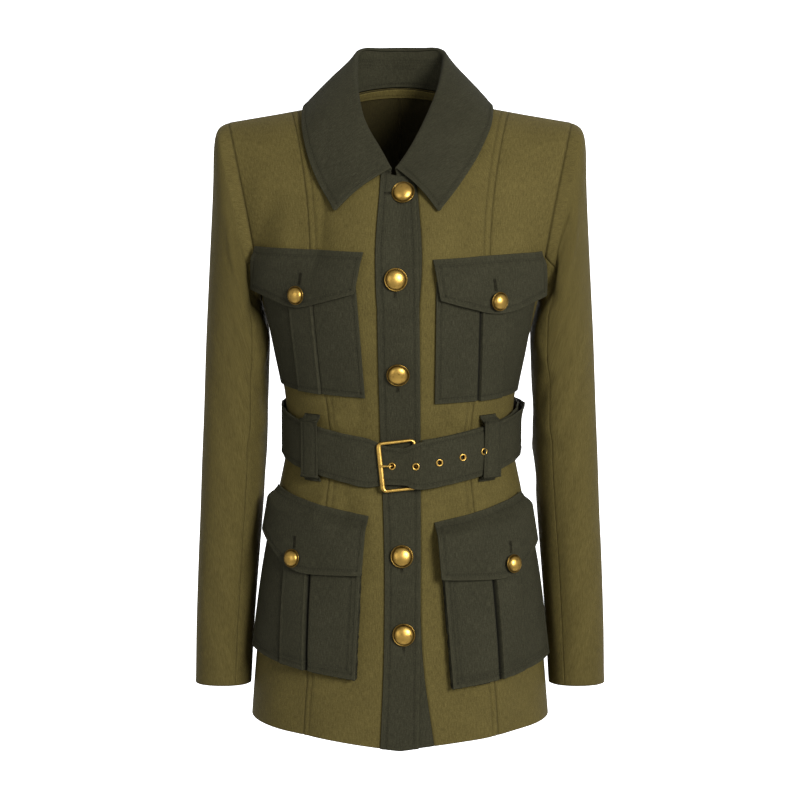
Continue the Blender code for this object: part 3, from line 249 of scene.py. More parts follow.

# Buttons: dome and rim as shares of the radius, heights over the seat, and painted shade
FRONT_BUTTON_HEIGHTS = (-0.0880, -0.1750, -0.2740, -0.4705, -0.5525)
FRONT_BUTTON_PLACES = (0.0038, -0.0050, -0.0020, 0.0020, 0.0040)
FRONT_BUTTON_RADIUS = 0.01225
POCKET_BUTTON_RADIUS = 0.0100
BUTTON_SIDES = 48
DOME_STEPS = np.linspace(0.02, math.pi / 2, 16)
DOME_SHARE = 0.86
DOME_BASE = 0.0030
DOME_RISE = 0.0052
DOME_SHADE = 0.68
BUTTON_RIM = (
    (0.87, 0.0029, 0.2), (0.885, 0.0030, 0.2), (0.92, 0.0034, 0.3), (0.955, 0.0035, 0.36),
    (0.985, 0.0032, 0.3), (1.0, 0.0027, 0.25), (0.985, 0.0022, 0.2), (0.94, 0.0019, 0.2),
    (0.36, 0.0017, 0.2), (0.32, 0.0014, 0.2), (0.32, 0.0004, 0.2),
)
# Dents of the dome: depth, waves round it, their twist and waves out from its middle
HAMMER_DEPTH = 0.00006
HAMMER_TURNS = 5
HAMMER_TWIST = 37
HAMMER_WAVES = 9
FLAP_BUTTON_UP = 0.015
# Buttonholes: the slot's distance from the button's middle and its length
FLAP_SLOT = (0.017, 0.0125)
NECK_SLOT = (0.0155, 0.012)
FRONT_SLOT = (0.0150, 0.008)
SLOT_WAVE_SHARE = 0.4
SLOT_PITCH = 0.00055
SLOT_HALF_GAP = 0.00015
SLOT_STITCH = 0.0014
SLOT_LIFT = 0.0001

# Belt
BELT_FRONT_HEIGHT = -0.3745
BELT_SIDE_HEIGHT = -0.3465
BELT_HALF_HEIGHT = 0.0262
BELT_BEND = 0.3
BELT_FRONT_REACH = 0.105
BELT_START_X = 0.0230
BELT_START_LIFT = 0.0010
BELT_START_RUN = 0.4
BELT_INNER_STANDOFF = 0.0034
BELT_TAIL_STANDOFF = 0.0068
BELT_TAIL_END = 2 * math.pi + 2.80
# Curl of the tail's upper edge: height, turn round the body, spread, where it starts across the strap
BELT_CURL = (0.0045, 1.42, 0.20, 0.1)
# Wave of the strap's edges: height, waves a radian, turn from the middle where it starts
BELT_WAVE = (0.0004, 38.0, 0.35)
# Stand-off of the strap's inner face near the buckle: x across the front, distance from the body
BELT_BUCKLE_RISE = (
    (-0.0700, 0.0034), (-0.0450, 0.0046), (-0.0210, 0.0050), (-0.0060, 0.0072), (0.0090, 0.0104),
    (0.0165, 0.0117), (0.0250, 0.0108), (0.0390, 0.0080), (0.0600, 0.0068),
)
# Half height of the strap where the buckle gathers it: x across the front, half height
BELT_PINCH = (
    (-0.0600, 0.0262), (-0.0320, 0.0256), (-0.0215, 0.0222), (-0.0150, 0.0206), (-0.0030, 0.0200),
    (0.0070, 0.0204), (0.0140, 0.0236), (0.0250, 0.0256), (0.0400, 0.0262),
)
BUCKLE_TILT = math.radians(6.0)
BUCKLE_CENTRE_X = -0.0015
BUCKLE_WIDTH = 0.0380
BUCKLE_HEIGHT = 0.0510
BUCKLE_WIRE = 0.0018
BUCKLE_SIDES = 16
BUCKLE_CORNER = 0.004
BUCKLE_CORNER_STEPS = 9
BUCKLE_CORNERS = ((1, 1, 0.0), (-1, 1, 90.0), (-1, -1, 180.0), (1, -1, 270.0))
BUCKLE_BAR_WIDENING = 1.5
# Share of the buckle's width where its bar starts to widen, and over what share
BUCKLE_BAR_START = 0.90
BUCKLE_BAR_RUN = 0.08
BUCKLE_BAR_STANDOFF = 0.0092
BUCKLE_PIVOT_STANDOFF = 0.0067
PRONG_WIRE = 0.0010
PRONG_SIDES = 12
PRONG_CLEARANCE = 0.0003
PRONG_STEPS = 40
# The prong's eye goes round the frame by this turn to either side
PRONG_EYE_TURN = 150.0
PRONG_EYE_STEPS = 13
# Bends of the prong, across and out: from its eye towards the eyelet, under the strap, over it, on the bar
PRONG_LEAD = (0.006, 0.0002)
PRONG_UNDER = (0.0012, -0.0012)
PRONG_OVER = (-0.0016, 0.0030)
PRONG_REST = (0.004, -0.0022)
# Thinning of the prong's last rings
PRONG_TIP = (0.98, 0.9, 0.75, 0.5)
EYELET_PLACES = (-0.0080, 0.0165, 0.0405, 0.0650, 0.0870)
EYELET_HOLE = 0.0032
EYELET_SIDES = 36
PUNCH_SIDES = 24
PUNCH_DEPTH = BELT_CLOTH * 1.6
# Eyelet outline: radius, height over the strap's outer face
EYELET_OUTLINE = (
    (0.0021, -0.0002), (0.0022, 0.0004), (0.0027, 0.0011), (0.0033, 0.0013), (0.0038, 0.0010),
    (0.0040, 0.0006), (0.0040, 0.0002), (0.0028, 0.0001), (0.0028, -BELT_CLOTH), (0.0021, -BELT_CLOTH),
)
LOOP_PLACES = {"right": -0.0935, "left": 0.0930}
LOOP_HALF_WIDTH = 0.0108
LOOP_BASE_LIFT = 0.0008
LOOP_SLACK = 0.0018
LOOP_SECTION = (0.128, 0.100)
# Loop profile: height from the belt's middle, share of the full stand-off
LOOP_PROFILE = (
    (0.0370, 0.0), (0.0340, 0.15), (0.0310, 0.80), (0.0280, 1.0),
    (-0.0285, 1.0), (-0.0315, 0.80), (-0.0340, 0.15), (-0.0365, 0.0),
)

# Finish of edges and seams, with painted shade along seams, stitch lines and inside faces, and painted
# highlights on edges
EDGE_ROUND = 0.00045
SEAM_DIP = 0.0008
SEAM_DIP_WIDTH = 0.0013
SLEEVE_SEAM_SHARE = 0.3
# Painted shade along pressed seams and along stitch lines
PRESSED_SHADE = 0.24
STITCH_SHADE = 0.18
# Painted highlight and wear on edges: how much lighter, and over what width
EDGE_WEAR_AND_HIGHLIGHT = 0.22
EDGE_WEAR_AND_HIGHLIGHT_WIDTH = 0.0012
SEAM_FADE = 0.024
# Painted shade on the inside faces of body and sleeves: the share of their colour that is left
INSIDE_SHADE = 0.3
STITCH_DIP = 0.0006
STITCH_DIP_WIDTH = 0.0012
# Where a stitch line stops short of a side, its dip goes on to this share of the distance
STITCH_TRIM_SHARE = 0.8
STITCH_PITCH = 0.0031
STITCH_LENGTH = 0.0023
# Distance of the stitch lines from their edges; rows along the stand run only between shares of its length
TOPSTITCH_INSET = 0.0060
SEAM_STITCH_INSET = 0.0070
STAND_STITCHES = (
    ("last_row", 0.0110, (0.16, 0.84)),
    ("last_row", 0.0145, (0.16, 0.84)),
    ("last_row", 0.0180, (0.16, 0.84)),
    ("first_row", 0.004, (0.1, 0.9)),
)
LEAF_ROLL_CLEAR = 0.012
FACING_STITCH_INSET = 0.0025
BAG_STITCH_INSETS = {"chest": (0.0052,), "lower": (0.0052, 0.0094)}
FLAP_TOP_INSET = 0.0075
BELT_STITCH_INSET = 0.0050
LOOP_STITCH_INSET = 0.0035
THREAD_RADIUS = 0.00022
THREAD_SIDES = 6
THREAD_LIFT = 0.35
# Rings of a stitch: share of its length from the middle, size, lift by its radius
THREAD_RINGS = (
    (-0.50, 0.35, -0.9), (-0.36, 0.85, 0.1), (0.00, 1.00, 0.45), (0.36, 0.85, 0.1), (0.50, 0.35, -0.9),
)

# Creases of the body, seen from the front or back: x and z of both ends, width, height (below 0 is a trough)
FRONT_CREASES = (
    (-0.165, -0.150, -0.130, -0.090, 0.012, -0.0030), (-0.150, -0.190, -0.118, -0.120, 0.011, 0.0024),
    (0.165, -0.150, 0.128, -0.085, 0.013, -0.0029), (0.150, -0.190, 0.116, -0.125, 0.010, 0.0021),
    (-0.060, -0.150, -0.085, -0.075, 0.014, 0.0018), (0.070, -0.145, 0.090, -0.070, 0.015, -0.0018),
    (-0.050, -0.340, -0.046, -0.300, 0.007, -0.0016), (-0.066, -0.338, -0.070, -0.318, 0.008, 0.0018),
    (0.052, -0.340, 0.040, -0.322, 0.008, -0.0016), (0.072, -0.338, 0.066, -0.318, 0.007, 0.0015),
    (-0.060, -0.402, -0.064, -0.450, 0.008, -0.0019), (-0.076, -0.400, -0.086, -0.440, 0.007, 0.0018),
    (-0.036, -0.405, -0.034, -0.460, 0.008, 0.0015), (0.046, -0.405, 0.052, -0.445, 0.008, -0.0019),
    (0.066, -0.400, 0.078, -0.440, 0.007, 0.0018), (0.096, -0.395, 0.104, -0.445, 0.008, -0.0018),
    (-0.110, -0.600, -0.104, -0.675, 0.016, -0.0024), (0.086, -0.615, 0.090, -0.675, 0.018, 0.0023),
    (0.125, -0.590, 0.130, -0.675, 0.016, -0.0023),
)
BACK_CREASES = (
    (-0.150, -0.170, -0.110, -0.110, 0.014, -0.0030), (0.152, -0.165, 0.106, -0.112, 0.013, -0.0027),
    (-0.060, -0.338, -0.070, -0.270, 0.012, -0.0024), (0.066, -0.338, 0.058, -0.262, 0.013, -0.0023),
    (-0.030, -0.333, -0.026, -0.290, 0.010, 0.0019), (0.024, -0.336, 0.034, -0.300, 0.009, 0.0018),
    (-0.084, -0.340, -0.100, -0.300, 0.010, 0.0019), (-0.050, -0.400, -0.058, -0.500, 0.014, 0.0024),
    (0.044, -0.398, 0.056, -0.480, 0.013, 0.0023), (-0.090, -0.395, -0.104, -0.470, 0.012, -0.0022),
    (0.092, -0.398, 0.108, -0.490, 0.013, -0.0023), (0.010, -0.402, 0.008, -0.560, 0.015, -0.0016),
    (-0.110, -0.560, -0.120, -0.675, 0.020, 0.0030), (0.100, -0.540, 0.116, -0.675, 0.019, 0.0028),
)
# Creases of a sleeve: turn round the arm and row down it at both ends, width, height
SLEEVE_CREASES = (
    (0.82, 0.6, 0.75, 2.6, 0.012, -0.0040), (0.72, 1.2, 0.62, 4.2, 0.011, -0.0037),
    (0.60, 1.6, 0.52, 3.8, 0.010, 0.0022), (0.86, 3.0, 0.70, 5.6, 0.012, 0.0028),
    (1.30, 1.4, 1.42, 4.4, 0.013, -0.0032), (1.22, 3.4, 1.45, 5.2, 0.012, 0.0025),
    (0.58, 5.6, 0.88, 6.4, 0.013, -0.0021), (0.50, 6.5, 0.92, 6.9, 0.014, 0.0016),
    (0.60, 7.5, 0.95, 7.1, 0.013, -0.0019), (0.30, 6.2, 0.48, 7.8, 0.020, -0.0015),
    (1.40, 5.8, 1.10, 6.6, 0.014, -0.0028), (1.50, 7.2, 1.12, 7.4, 0.013, 0.0025),
    (1.38, 8.2, 1.08, 7.9, 0.014, -0.0024), (0.25, 9.0, 0.30, 10.8, 0.022, 0.0013),
    (0.70, 8.8, 0.64, 10.6, 0.018, -0.0014), (1.70, 8.6, 1.66, 10.7, 0.022, -0.0016),
)
SLEEVE_TURN_LENGTH = 0.165
SLEEVE_ROW_LENGTH = 0.056
LEFT_SLEEVE_SHIFT = 0.07
SLEEVE_RIPPLE_CLEAR = 0.12
# Rows over which a sleeve's creases fade at its head and at its cuff, and what is left of them there
HEAD_FADE = 1.2
CUFF_FADE = 0.6
CUFF_CREASE_SHARE = 0.2
# Shape of a crease: bow by its length, change of the bow from one to the next, half of its even part, fading
CREASE_BOW = 0.12
CREASE_BOW_STEP = 2.4
CREASE_EVEN = 0.28
CREASE_FADE = 0.26

# Slow unevenness of hanging cloth: heights, turns a metre across and down, phases
RIPPLE_HEIGHTS = (0.0006, 0.0004)
RIPPLE_TURNS = ((31, 9), (-7, 13), (58, -21))
FRONT_PHASE = 0.7
BACK_PHASE = 2.1
SLEEVE_PHASE = 1.3
LEAF_PHASE = 0.4
FLAP_PHASE_STEP = 1.3

# Spacing of grid lines: near an edge, how far in that goes, elsewhere; in metres or shares of the piece
BODY_ROWS = (0.0024, 0.010, 0.0105)
BODY_COLUMNS = (0.0009, 0.010, 0.004)
CENTRE_WIDTH = 0.110
SIDE_WIDTH = 0.120
SLEEVE_ROWS = (0.03, 0.24, 0.085)
OVER_COLUMNS = (0.016, 0.27, 0.067)
UNDER_COLUMNS = (0.02, 0.2, 0.04)
COLLAR_COLUMNS = (0.010, 0.14, 0.035)
STAND_ROWS = (0.03, 0.24, 0.07)
LEAF_ROWS = (0.013, 0.17, 0.05)
BAG_COLUMNS = (0.0007, 0.009, 0.003)
BAG_ROWS = (0.0008, 0.009, 0.005)
FLAP_COLUMNS = (0.0008, 0.009, 0.003)
FLAP_ROWS = (0.0008, 0.010, 0.003)
BELT_ROWS = (0.03, 0.36, 0.12)
LOOP_COLUMNS = (0.07, 0.5, 0.15)
# Counts of grid lines, and of the samples that round a flap's point
UPPER_BODY_ROWS = 64
UNDER_SLEEVE_COLUMNS = 60
UPPER_SLEEVE_COLUMNS = 110
HALF_NECK_COLUMNS = 33
FACING_ROWS = 9
FLAP_POINT_SAMPLES = 13
LOOP_ROWS = 64
# Columns of the belt: once round, past the buckle, the tail
BELT_COUNTS = (210, 60, 60)
# Small steps that find a normal, an axis, the strap's way and a buttonhole's way
NORMAL_STEP = 0.002
AXIS_STEP = 0.01
STRAP_STEP = 0.003
SLOT_STEP = 0.1
# Directions that no axis runs along, to start the rings of round pieces and of wires
TURN_REFERENCE = (0.13, 0.21, 0.97)
SWEEP_REFERENCE = (0.31, 0.52, 0.79)

# Colours (linear): dark, middle and light yarns of each cloth, threads and metal
OLIVE_YARNS = ((0.070, 0.0535, 0.0148), (0.102, 0.0795, 0.0225), (0.134, 0.106, 0.0315))
CHARCOAL_YARNS = ((0.0215, 0.0202, 0.0108), (0.0330, 0.0312, 0.0172), (0.0475, 0.0450, 0.0260))
GOLD = (0.57, 0.355, 0.084)
GOLD_DARK = (0.30, 0.175, 0.042)
OLIVE_THREAD = (0.084, 0.065, 0.0190)
CHARCOAL_THREAD = (0.0380, 0.0358, 0.0210)
HOLE_THREAD = (0.013, 0.0115, 0.006)
# Width of one band of the wave texture at scale 1, and the pitch of the yarn lines
WAVE_BAND = 2 * math.pi / 20
TWILL_PITCH = 0.0011
PLAIN_PITCH = 0.0009
TWILL_ANGLE = math.radians(52)
CLOTH_SHEEN = 0.03
CROSS_SHARE = 0.35
YARN_SHARE = 0.42
PATCH_SHARE = 0.16
NAP_SHARE = 0.8
# Painted shade in the weave's grooves: the colour left at the bottom of a groove
GROOVE_SHADE = (0.62, 0.62, 0.62)
THREAD_DARK = 0.7
THREAD_PALE = 1.35

# Camera, from the photo's view
CAMERA_DISTANCE = 2.1
CAMERA_PITCH = math.radians(8.64)
CAMERA_LENS = 86.18
CAMERA_SENSOR = 36.0

# Stage: lamps by name, place, size and power, what they point at, and the paper behind and below
LAMPS = (
    ("key", (1.6, -2.7, 0.75), 1.2, 133.5),
    ("fill", (-2.0, -2.4, 0.2), 2.0, 14.0),
    ("rim", (0.6, 2.2, 1.6), 1.6, 10.0),
)
LAMP_AIM = Vector((0.0, 0.0, -0.3))
SKY_STRENGTH = 0.40
WHITE = (1.0, 1.0, 1.0, 1.0)
PAPER_COLOUR = (0.9, 0.9, 0.9, 1.0)
PAPER_ROUGHNESS = 0.9
PAPER_GLOW = 1.1
FLOOR_HEIGHT = -3.5
BACKDROP_TOP = 3.5
BACKDROP_Y = 3.0
FLOOR_FRONT_Y = -6.0
STAGE_HALF_WIDTH = 4.0

# Material and slot of each cloth, and of the threads that sew it
CLOTHS = {"body": ("body_twill", "body_cloth"), "trim": ("trim_weave", "contrast_cloth")}
THREADS = {
    "body": ("olive_thread", "body_cloth"),
    "trim": ("charcoal_thread", "contrast_cloth"),
    "buttonholes": ("buttonhole_thread", "contrast_cloth"),
}
MATERIALS = {}
STITCH_ROWS = {kind: [] for kind in THREADS}


# Curves and grids


def smooth(table, keys):
    """Rows of a table at some keys, on a smooth curve through its rows (first column is the key)."""
    rows = np.array(table, dtype=float)
    knots, values = rows[:, 0], rows[:, 1:]
    keys = np.clip(np.atleast_1d(np.asarray(keys, dtype=float)), knots[0], knots[-1])
    place = np.minimum(np.searchsorted(knots, keys, side="right") - 1, len(knots) - 2)
    slopes = np.gradient(values, knots, axis=0)
    span = (knots[place + 1] - knots[place])[:, None]
    t = (keys - knots[place])[:, None] / span
    start = values[place] * (2 * t ** 3 - 3 * t ** 2 + 1) + slopes[place] * span * (t ** 3 - 2 * t ** 2 + t)
    end = values[place + 1] * (3 * t ** 2 - 2 * t ** 3) + slopes[place + 1] * span * (t ** 3 - t ** 2)
    return start + end


def value_at(table, key):
    return float(smooth(table, key)[0, 0])


def through(rows, count):
    """Even steps on a smooth curve through rows of numbers."""
    table = [(number, *row) for number, row in enumerate(rows)]
    return smooth(table, np.linspace(0.0, len(table) - 1.0, count))


def between(keys, knots, rows):
    """Rows of numbers at keys, in straight steps between their knots."""
    return np.stack([np.interp(keys, knots, column) for column in rows.T], axis=-1)


def ramp_up(values):
    """From 0 to 1, level at both ends."""
    share = np.clip(values, 0.0, 1.0)
    return share * share * (3 - 2 * share)


def unit(vectors):
    return vectors / np.maximum(np.linalg.norm(vectors, axis=-1, keepdims=True), 1e-12)


def travelled(line):
    steps = np.linalg.norm(np.diff(line, axis=0), axis=1)
    return np.concatenate([[0.0], np.cumsum(steps)])


def length_of(line):
    return float(travelled(line)[-1])


def along(line, distances):
    """Points at given distances along a line of points, going straight on past its end."""
    steps = travelled(line)
    beyond = np.maximum(np.asarray(distances) - steps[-1], 0.0)
    return between(distances, steps, line) + beyond[..., None] * unit(line[-1] - line[-3])


def grid_normals(points):
    return unit(np.cross(np.gradient(points, axis=1), np.gradient(points, axis=0)))


def mirrored(points):
    return points * np.array((-1.0, 1.0, 1.0))


def edged(length, fine, margin, coarse, start=True, end=True):
    """Places from 0 to length, close together near the chosen ends."""
    near = np.linspace(0.0, margin, int(round(margin / fine)) + 1)
    first = near if start else np.array([0.0])
    last = length - near[::-1] if end else np.array([length])
    count = max(2, int(round((last[0] - first[-1]) / coarse)) + 1)
    return np.concatenate([first, np.linspace(first[-1], last[0], count)[1:-1], last])


def circle(sides, first, second):
    """Round a pair of axes, or round each pair in two lists of axes."""
    angles = np.linspace(0.0, 2 * math.pi, sides, endpoint=False)[:, None]
    return first[..., None, :] * np.cos(angles) + second[..., None, :] * np.sin(angles)


# Body surface


def quarter_line(height, front, samples=97):
    """Quarter of the level section, from the centre line to the side."""
    half_width, front_depth, back_depth = smooth(BODY_SECTIONS, height)[0]
    depth = front_depth if front else back_depth
    angle = np.linspace(0.0, math.pi / 2, samples)
    reach = np.abs(np.sin(angle) / half_width) ** ROUNDNESS + np.abs(np.cos(angle) / depth) ** ROUNDNESS
    reach = reach ** (-1.0 / ROUNDNESS)
    sign = -1.0 if front else 1.0
    line = np.stack([reach * np.sin(angle), sign * reach * np.cos(angle), np.full(samples, height)], axis=-1)
    return along(line, np.linspace(0.0, length_of(line), samples))


def lower_line(level, front):
    return quarter_line(HEM_HEIGHT + (ARMPIT_HEIGHT - HEM_HEIGHT) * level, front)


def neck_points(shares, front):
    """Neckline from the centre (0) to the side of the neck (1)."""
    angle = np.asarray(shares) * math.pi / 2
    centre = NECK_FRONT if front else NECK_BACK
    x = NECK_SIDE[0] * np.sin(angle)
    y = NECK_SIDE[1] + (centre[1] - NECK_SIDE[1]) * np.cos(angle)
    z = centre[2] + (NECK_SIDE[2] - centre[2]) * (1.0 - np.cos(angle)) ** NECK_POWER
    return np.stack([x, y, z], axis=-1)


def ring_points(rows, turns):
    """Points of the sleeve rings: turn 0 at the outside, 0.5 in front, 1 inside, 1.5 behind."""
    rows = np.asarray(rows, dtype=float)
    start = np.clip(1.0 - rows, 0.0, 1.0)[:, None]
    cuff = np.clip(rows - (CUFF_ROW - 1), 0.0, 1.0)[:, None]
    squareness = SLEEVE_SQUARENESS + (2.0 - SLEEVE_SQUARENESS) * start
    values = smooth(SLEEVE_RINGS, rows).T[:, :, None]
    outer_x, outer_z, inner_x, inner_z, centre_y, front_depth, back_depth = values
    angle = np.asarray(turns)[None, :] * math.pi
    cosine = np.sign(np.cos(angle)) * np.abs(np.cos(angle)) ** (2 / squareness)
    sine = np.sign(np.sin(angle)) * np.abs(np.sin(angle)) ** (2 / squareness)
    depth = np.where(sine >= 0, -front_depth, -back_depth)
    return np.stack([
        (outer_x + inner_x) / 2 + (outer_x - inner_x) / 2 * cosine - ARMHOLE_HOLLOW * start * np.abs(sine),
        centre_y + ARMHOLE_SWAY * start * cosine + depth * sine,
        (outer_z + inner_z) / 2 + (outer_z - inner_z) / 2 * cosine + CUFF_RISE * cuff * np.abs(sine),
    ], axis=-1)


def armhole_points(turns, front):
    return ring_points([0.0], turns if front else 2.0 - turns)[0]


def top_points(sizes, front):
    neck = neck_points(np.minimum(sizes / NECK_SHARE, 1.0), front)
    shoulder_end = armhole_points(np.zeros(1), True)[0]
    reach = np.clip((sizes - NECK_SHARE) / (1.0 - NECK_SHARE), 0.0, 1.0)[:, None]
    return np.where(sizes[:, None] <= NECK_SHARE, neck, NECK_SIDE + (shoulder_end - NECK_SIDE) * reach)


def skin_row(level, front, shares):
    """Points of the outer body surface at a level, +X half; a share below 0 lies on the other half."""
    shares = np.asarray(shares, dtype=float)
    sizes = np.abs(shares)
    base = lower_line(level, front) if level <= 1.0 else quarter_line(ARMPIT_HEIGHT, front)
    points = along(base, sizes * length_of(base))
    if level <= 1.0:
        rise = HEM_SIDE_RISE * sizes ** 2 + HEM_QUARTER_RISE * np.sin(math.pi * sizes)
        points[:, 2] += max(0.0, 1.0 - level / HEM_RISE_LEVEL) * rise
    else:
        rise = level - 1.0
        ends = top_points(np.array((0.0, 1.0)), front)
        bulge = -CHEST_BULGE if front else BLADE_BULGE
        centre = base[0] + (ends[0] - base[0]) * rise
        centre = centre + np.array((0.0, bulge * math.sin(math.pi * rise), 0.0))
        arm = armhole_points(np.array([1.0 - rise]), front)[0]
        blend = np.array((rise, rise ** (FRONT_LEAN if front else BACK_LEAN), rise))
        centre_shift = centre - (base[0] * (1 - blend) + ends[0] * blend)
        arm_shift = arm - (base[-1] * (1 - blend) + ends[1] * blend)
        weight = sizes[:, None]
        points = points * (1 - blend) + top_points(sizes, front) * blend
        points = points + (1 - weight) * centre_shift + weight * arm_shift
    points[:, 0] *= np.where(shares < 0, -1.0, 1.0)
    return points


FINE_SHARES = np.linspace(0.0, 1.0, 97)
FINE_RISES = np.linspace(0.0, 1.0, 61)
UPPER_GRIDS = {side: np.stack([skin_row(1.0 + rise, side, FINE_SHARES) for rise in FINE_RISES])
               for side in (True, False)}


def level_line(height, front):
    """Level line of the body surface from the centre (or the neckline) to the side (or the armhole)."""
    if height <= ARMPIT_HEIGHT:
        return quarter_line(height, front)
    points = []
    for column in UPPER_GRIDS[front].swapaxes(0, 1):
        rise = np.interp(height, column[:, 2], FINE_RISES)
        points.append(between(rise, FINE_RISES, column))
    return np.array(points)


MAP_STEP = 0.0025
MAP_HEIGHTS = np.arange(-0.690, 0.012, MAP_STEP)
MAP_DISTANCES = np.arange(0.0, 0.290, MAP_STEP)
FRONT_MAP = np.stack([along(level_line(height, True), MAP_DISTANCES) for height in MAP_HEIGHTS])
FRONT_MAP_NORMALS = grid_normals(FRONT_MAP)


def creased(coordinates, creases):
    """Height of a set of soft troughs and ridges at points of a plane."""
    total = np.zeros(coordinates.shape[:-1])
    for number, (x0, z0, x1, z1, width, height) in enumerate(creases):
        start = np.array((x0, z0))
        run = np.array((x1, z1)) - start
        length = float(np.linalg.norm(run))
        offset = coordinates - start
        place = offset @ run / length ** 2
        bow = CREASE_BOW * length * math.sin(CREASE_BOW_STEP * number)
        across = (offset @ np.array((-run[1], run[0]))) / length
        across = across + bow * np.sin(math.pi * np.clip(place, 0.0, 1.0))
        past = np.maximum(np.abs(place - 0.5) - CREASE_EVEN, 0.0) * length
        total += height * np.exp(-(across / width) ** 2 - (past / (CREASE_FADE * length)) ** 2)
    return total


def ripple(coordinates, phase):
    """Slow unevenness of hanging cloth."""
    x, z = coordinates[..., 0], coordinates[..., 1]
    waves = [np.sin(across * x + down * z + number * phase)
             for number, (across, down) in enumerate(RIPPLE_TURNS, 1)]
    return RIPPLE_HEIGHTS[0] * (waves[0] * waves[1]) + RIPPLE_HEIGHTS[1] * waves[2]


def seam_samples(front):
    """Points along the armhole, side, shoulder and neck seams of the +X half."""
    heights = np.linspace(HEM_HEIGHT, ARMPIT_HEIGHT, 150)
    side = np.stack([smooth(BODY_SECTIONS, heights)[:, 0], np.zeros(len(heights)), heights], axis=-1)
    armhole = armhole_points(np.linspace(0.0, 1.0, 90), front)
    return np.concatenate([armhole, side, top_points(np.linspace(0.0, 1.0, 60), front)])


SEAM_SAMPLES = {side: seam_samples(side) for side in (True, False)}


def body_relief(points, front):
    """Height of the body's creases, none at its outer seams."""
    plane = points[..., (0, 2)]
    relief = creased(plane, FRONT_CREASES if front else BACK_CREASES)
    relief = relief + ripple(plane, FRONT_PHASE if front else BACK_PHASE)
    folded = np.concatenate([np.abs(points[..., :1]), points[..., 1:]], axis=-1)
    gaps = np.linalg.norm(folded[..., None, :] - SEAM_SAMPLES[front], axis=-1).min(axis=-1)
    return relief * ramp_up(gaps / SEAM_FADE)


def on_front(distance, height, lift):
    """Points of the creased front at signed distances from the centre line, moved out along the normal."""
    given = [np.asarray(part, dtype=float) for part in (distance, height, lift)]
    distance, height, lift = np.broadcast_arrays(*given)
    row = np.clip((height - MAP_HEIGHTS[0]) / MAP_STEP, 0.0, len(MAP_HEIGHTS) - 1.001)
    column = np.clip(np.abs(distance) / MAP_STEP, 0.0, len(MAP_DISTANCES) - 1.001)
    r, c = row.astype(int), column.astype(int)
    u, v = (row - r)[..., None], (column - c)[..., None]

    def read(grid):
        low = grid[r, c] * (1 - v) + grid[r, c + 1] * v
        high = grid[r + 1, c] * (1 - v) + grid[r + 1, c + 1] * v
        return low * (1 - u) + high * u

    half = np.where(distance < 0, -1.0, 1.0)[..., None]
    turn = half * np.array((1.0, 0.0, 0.0)) + np.array((0.0, 1.0, 1.0))
    point = read(FRONT_MAP) * turn
    normal = unit(read(FRONT_MAP_NORMALS)) * turn
    return point + normal * (lift + body_relief(point, True))[..., None]


# Materials


class Tree:
    """Short names for building a material's nodes."""

    def __init__(self, name):
        self.material = bpy.data.materials.new(name)
        self.material.use_nodes = True
        self.nodes = self.material.node_tree.nodes
        MATERIALS[name] = self.material

    def join(self, node, values):
        """Sets or links sockets of a node."""
        for socket, value in values.items():
            if isinstance(value, bpy.types.NodeSocket):
                self.material.node_tree.links.new(value, node.inputs[socket])
            else:
                node.inputs[socket].default_value = value

    def finish(self, values):
        self.join(self.nodes["Principled BSDF"], values)

    def add(self, kind, values, output=0, **settings):
        node = self.nodes.new("ShaderNode" + kind)
        for key, value in settings.items():
            setattr(node, key, value)
        self.join(node, values)
        return node.outputs[output]

    def ramp(self, factor, stops):
        colour = self.add("ValToRGB", {"Fac": factor}, "Color")
        elements = colour.node.color_ramp.elements
        for index, (place, tone) in enumerate(stops):
            element = elements[index] if index < 2 else elements.new(place)
            element.position = place
            element.color = (*tone, 1.0)
        return colour

    def maths(self, operation, first, second):
        return self.add("Math", {0: first, 1: second}, operation=operation)

    def noise(self, place, scale, detail=2.0, roughness=0.5):
        values = {"Vector": place, "Scale": scale, "Detail": detail, "Roughness": roughness}
        return self.add("TexNoise", values, "Fac")

    def wave(self, direction, values):
        return self.add("TexWave", values, "Fac", bands_direction=direction)

    def times(self, first, second):
        values = {"Factor": 1.0, "A": first, "B": second}
        return self.add("Mix", values, "Result", data_type="RGBA", blend_type="MULTIPLY")

    def bump(self, strength, distance, height):
        return self.add("Bump", {"Strength": strength, "Distance": distance, "Height": height}, "Normal")

    def shade(self):
        """Painted light and shade that the mesh carries."""
        return self.add("VertexColor", {}, "Color", layer_name="shade")

    def place(self):
        return self.add("TexCoord", {}, "Object")


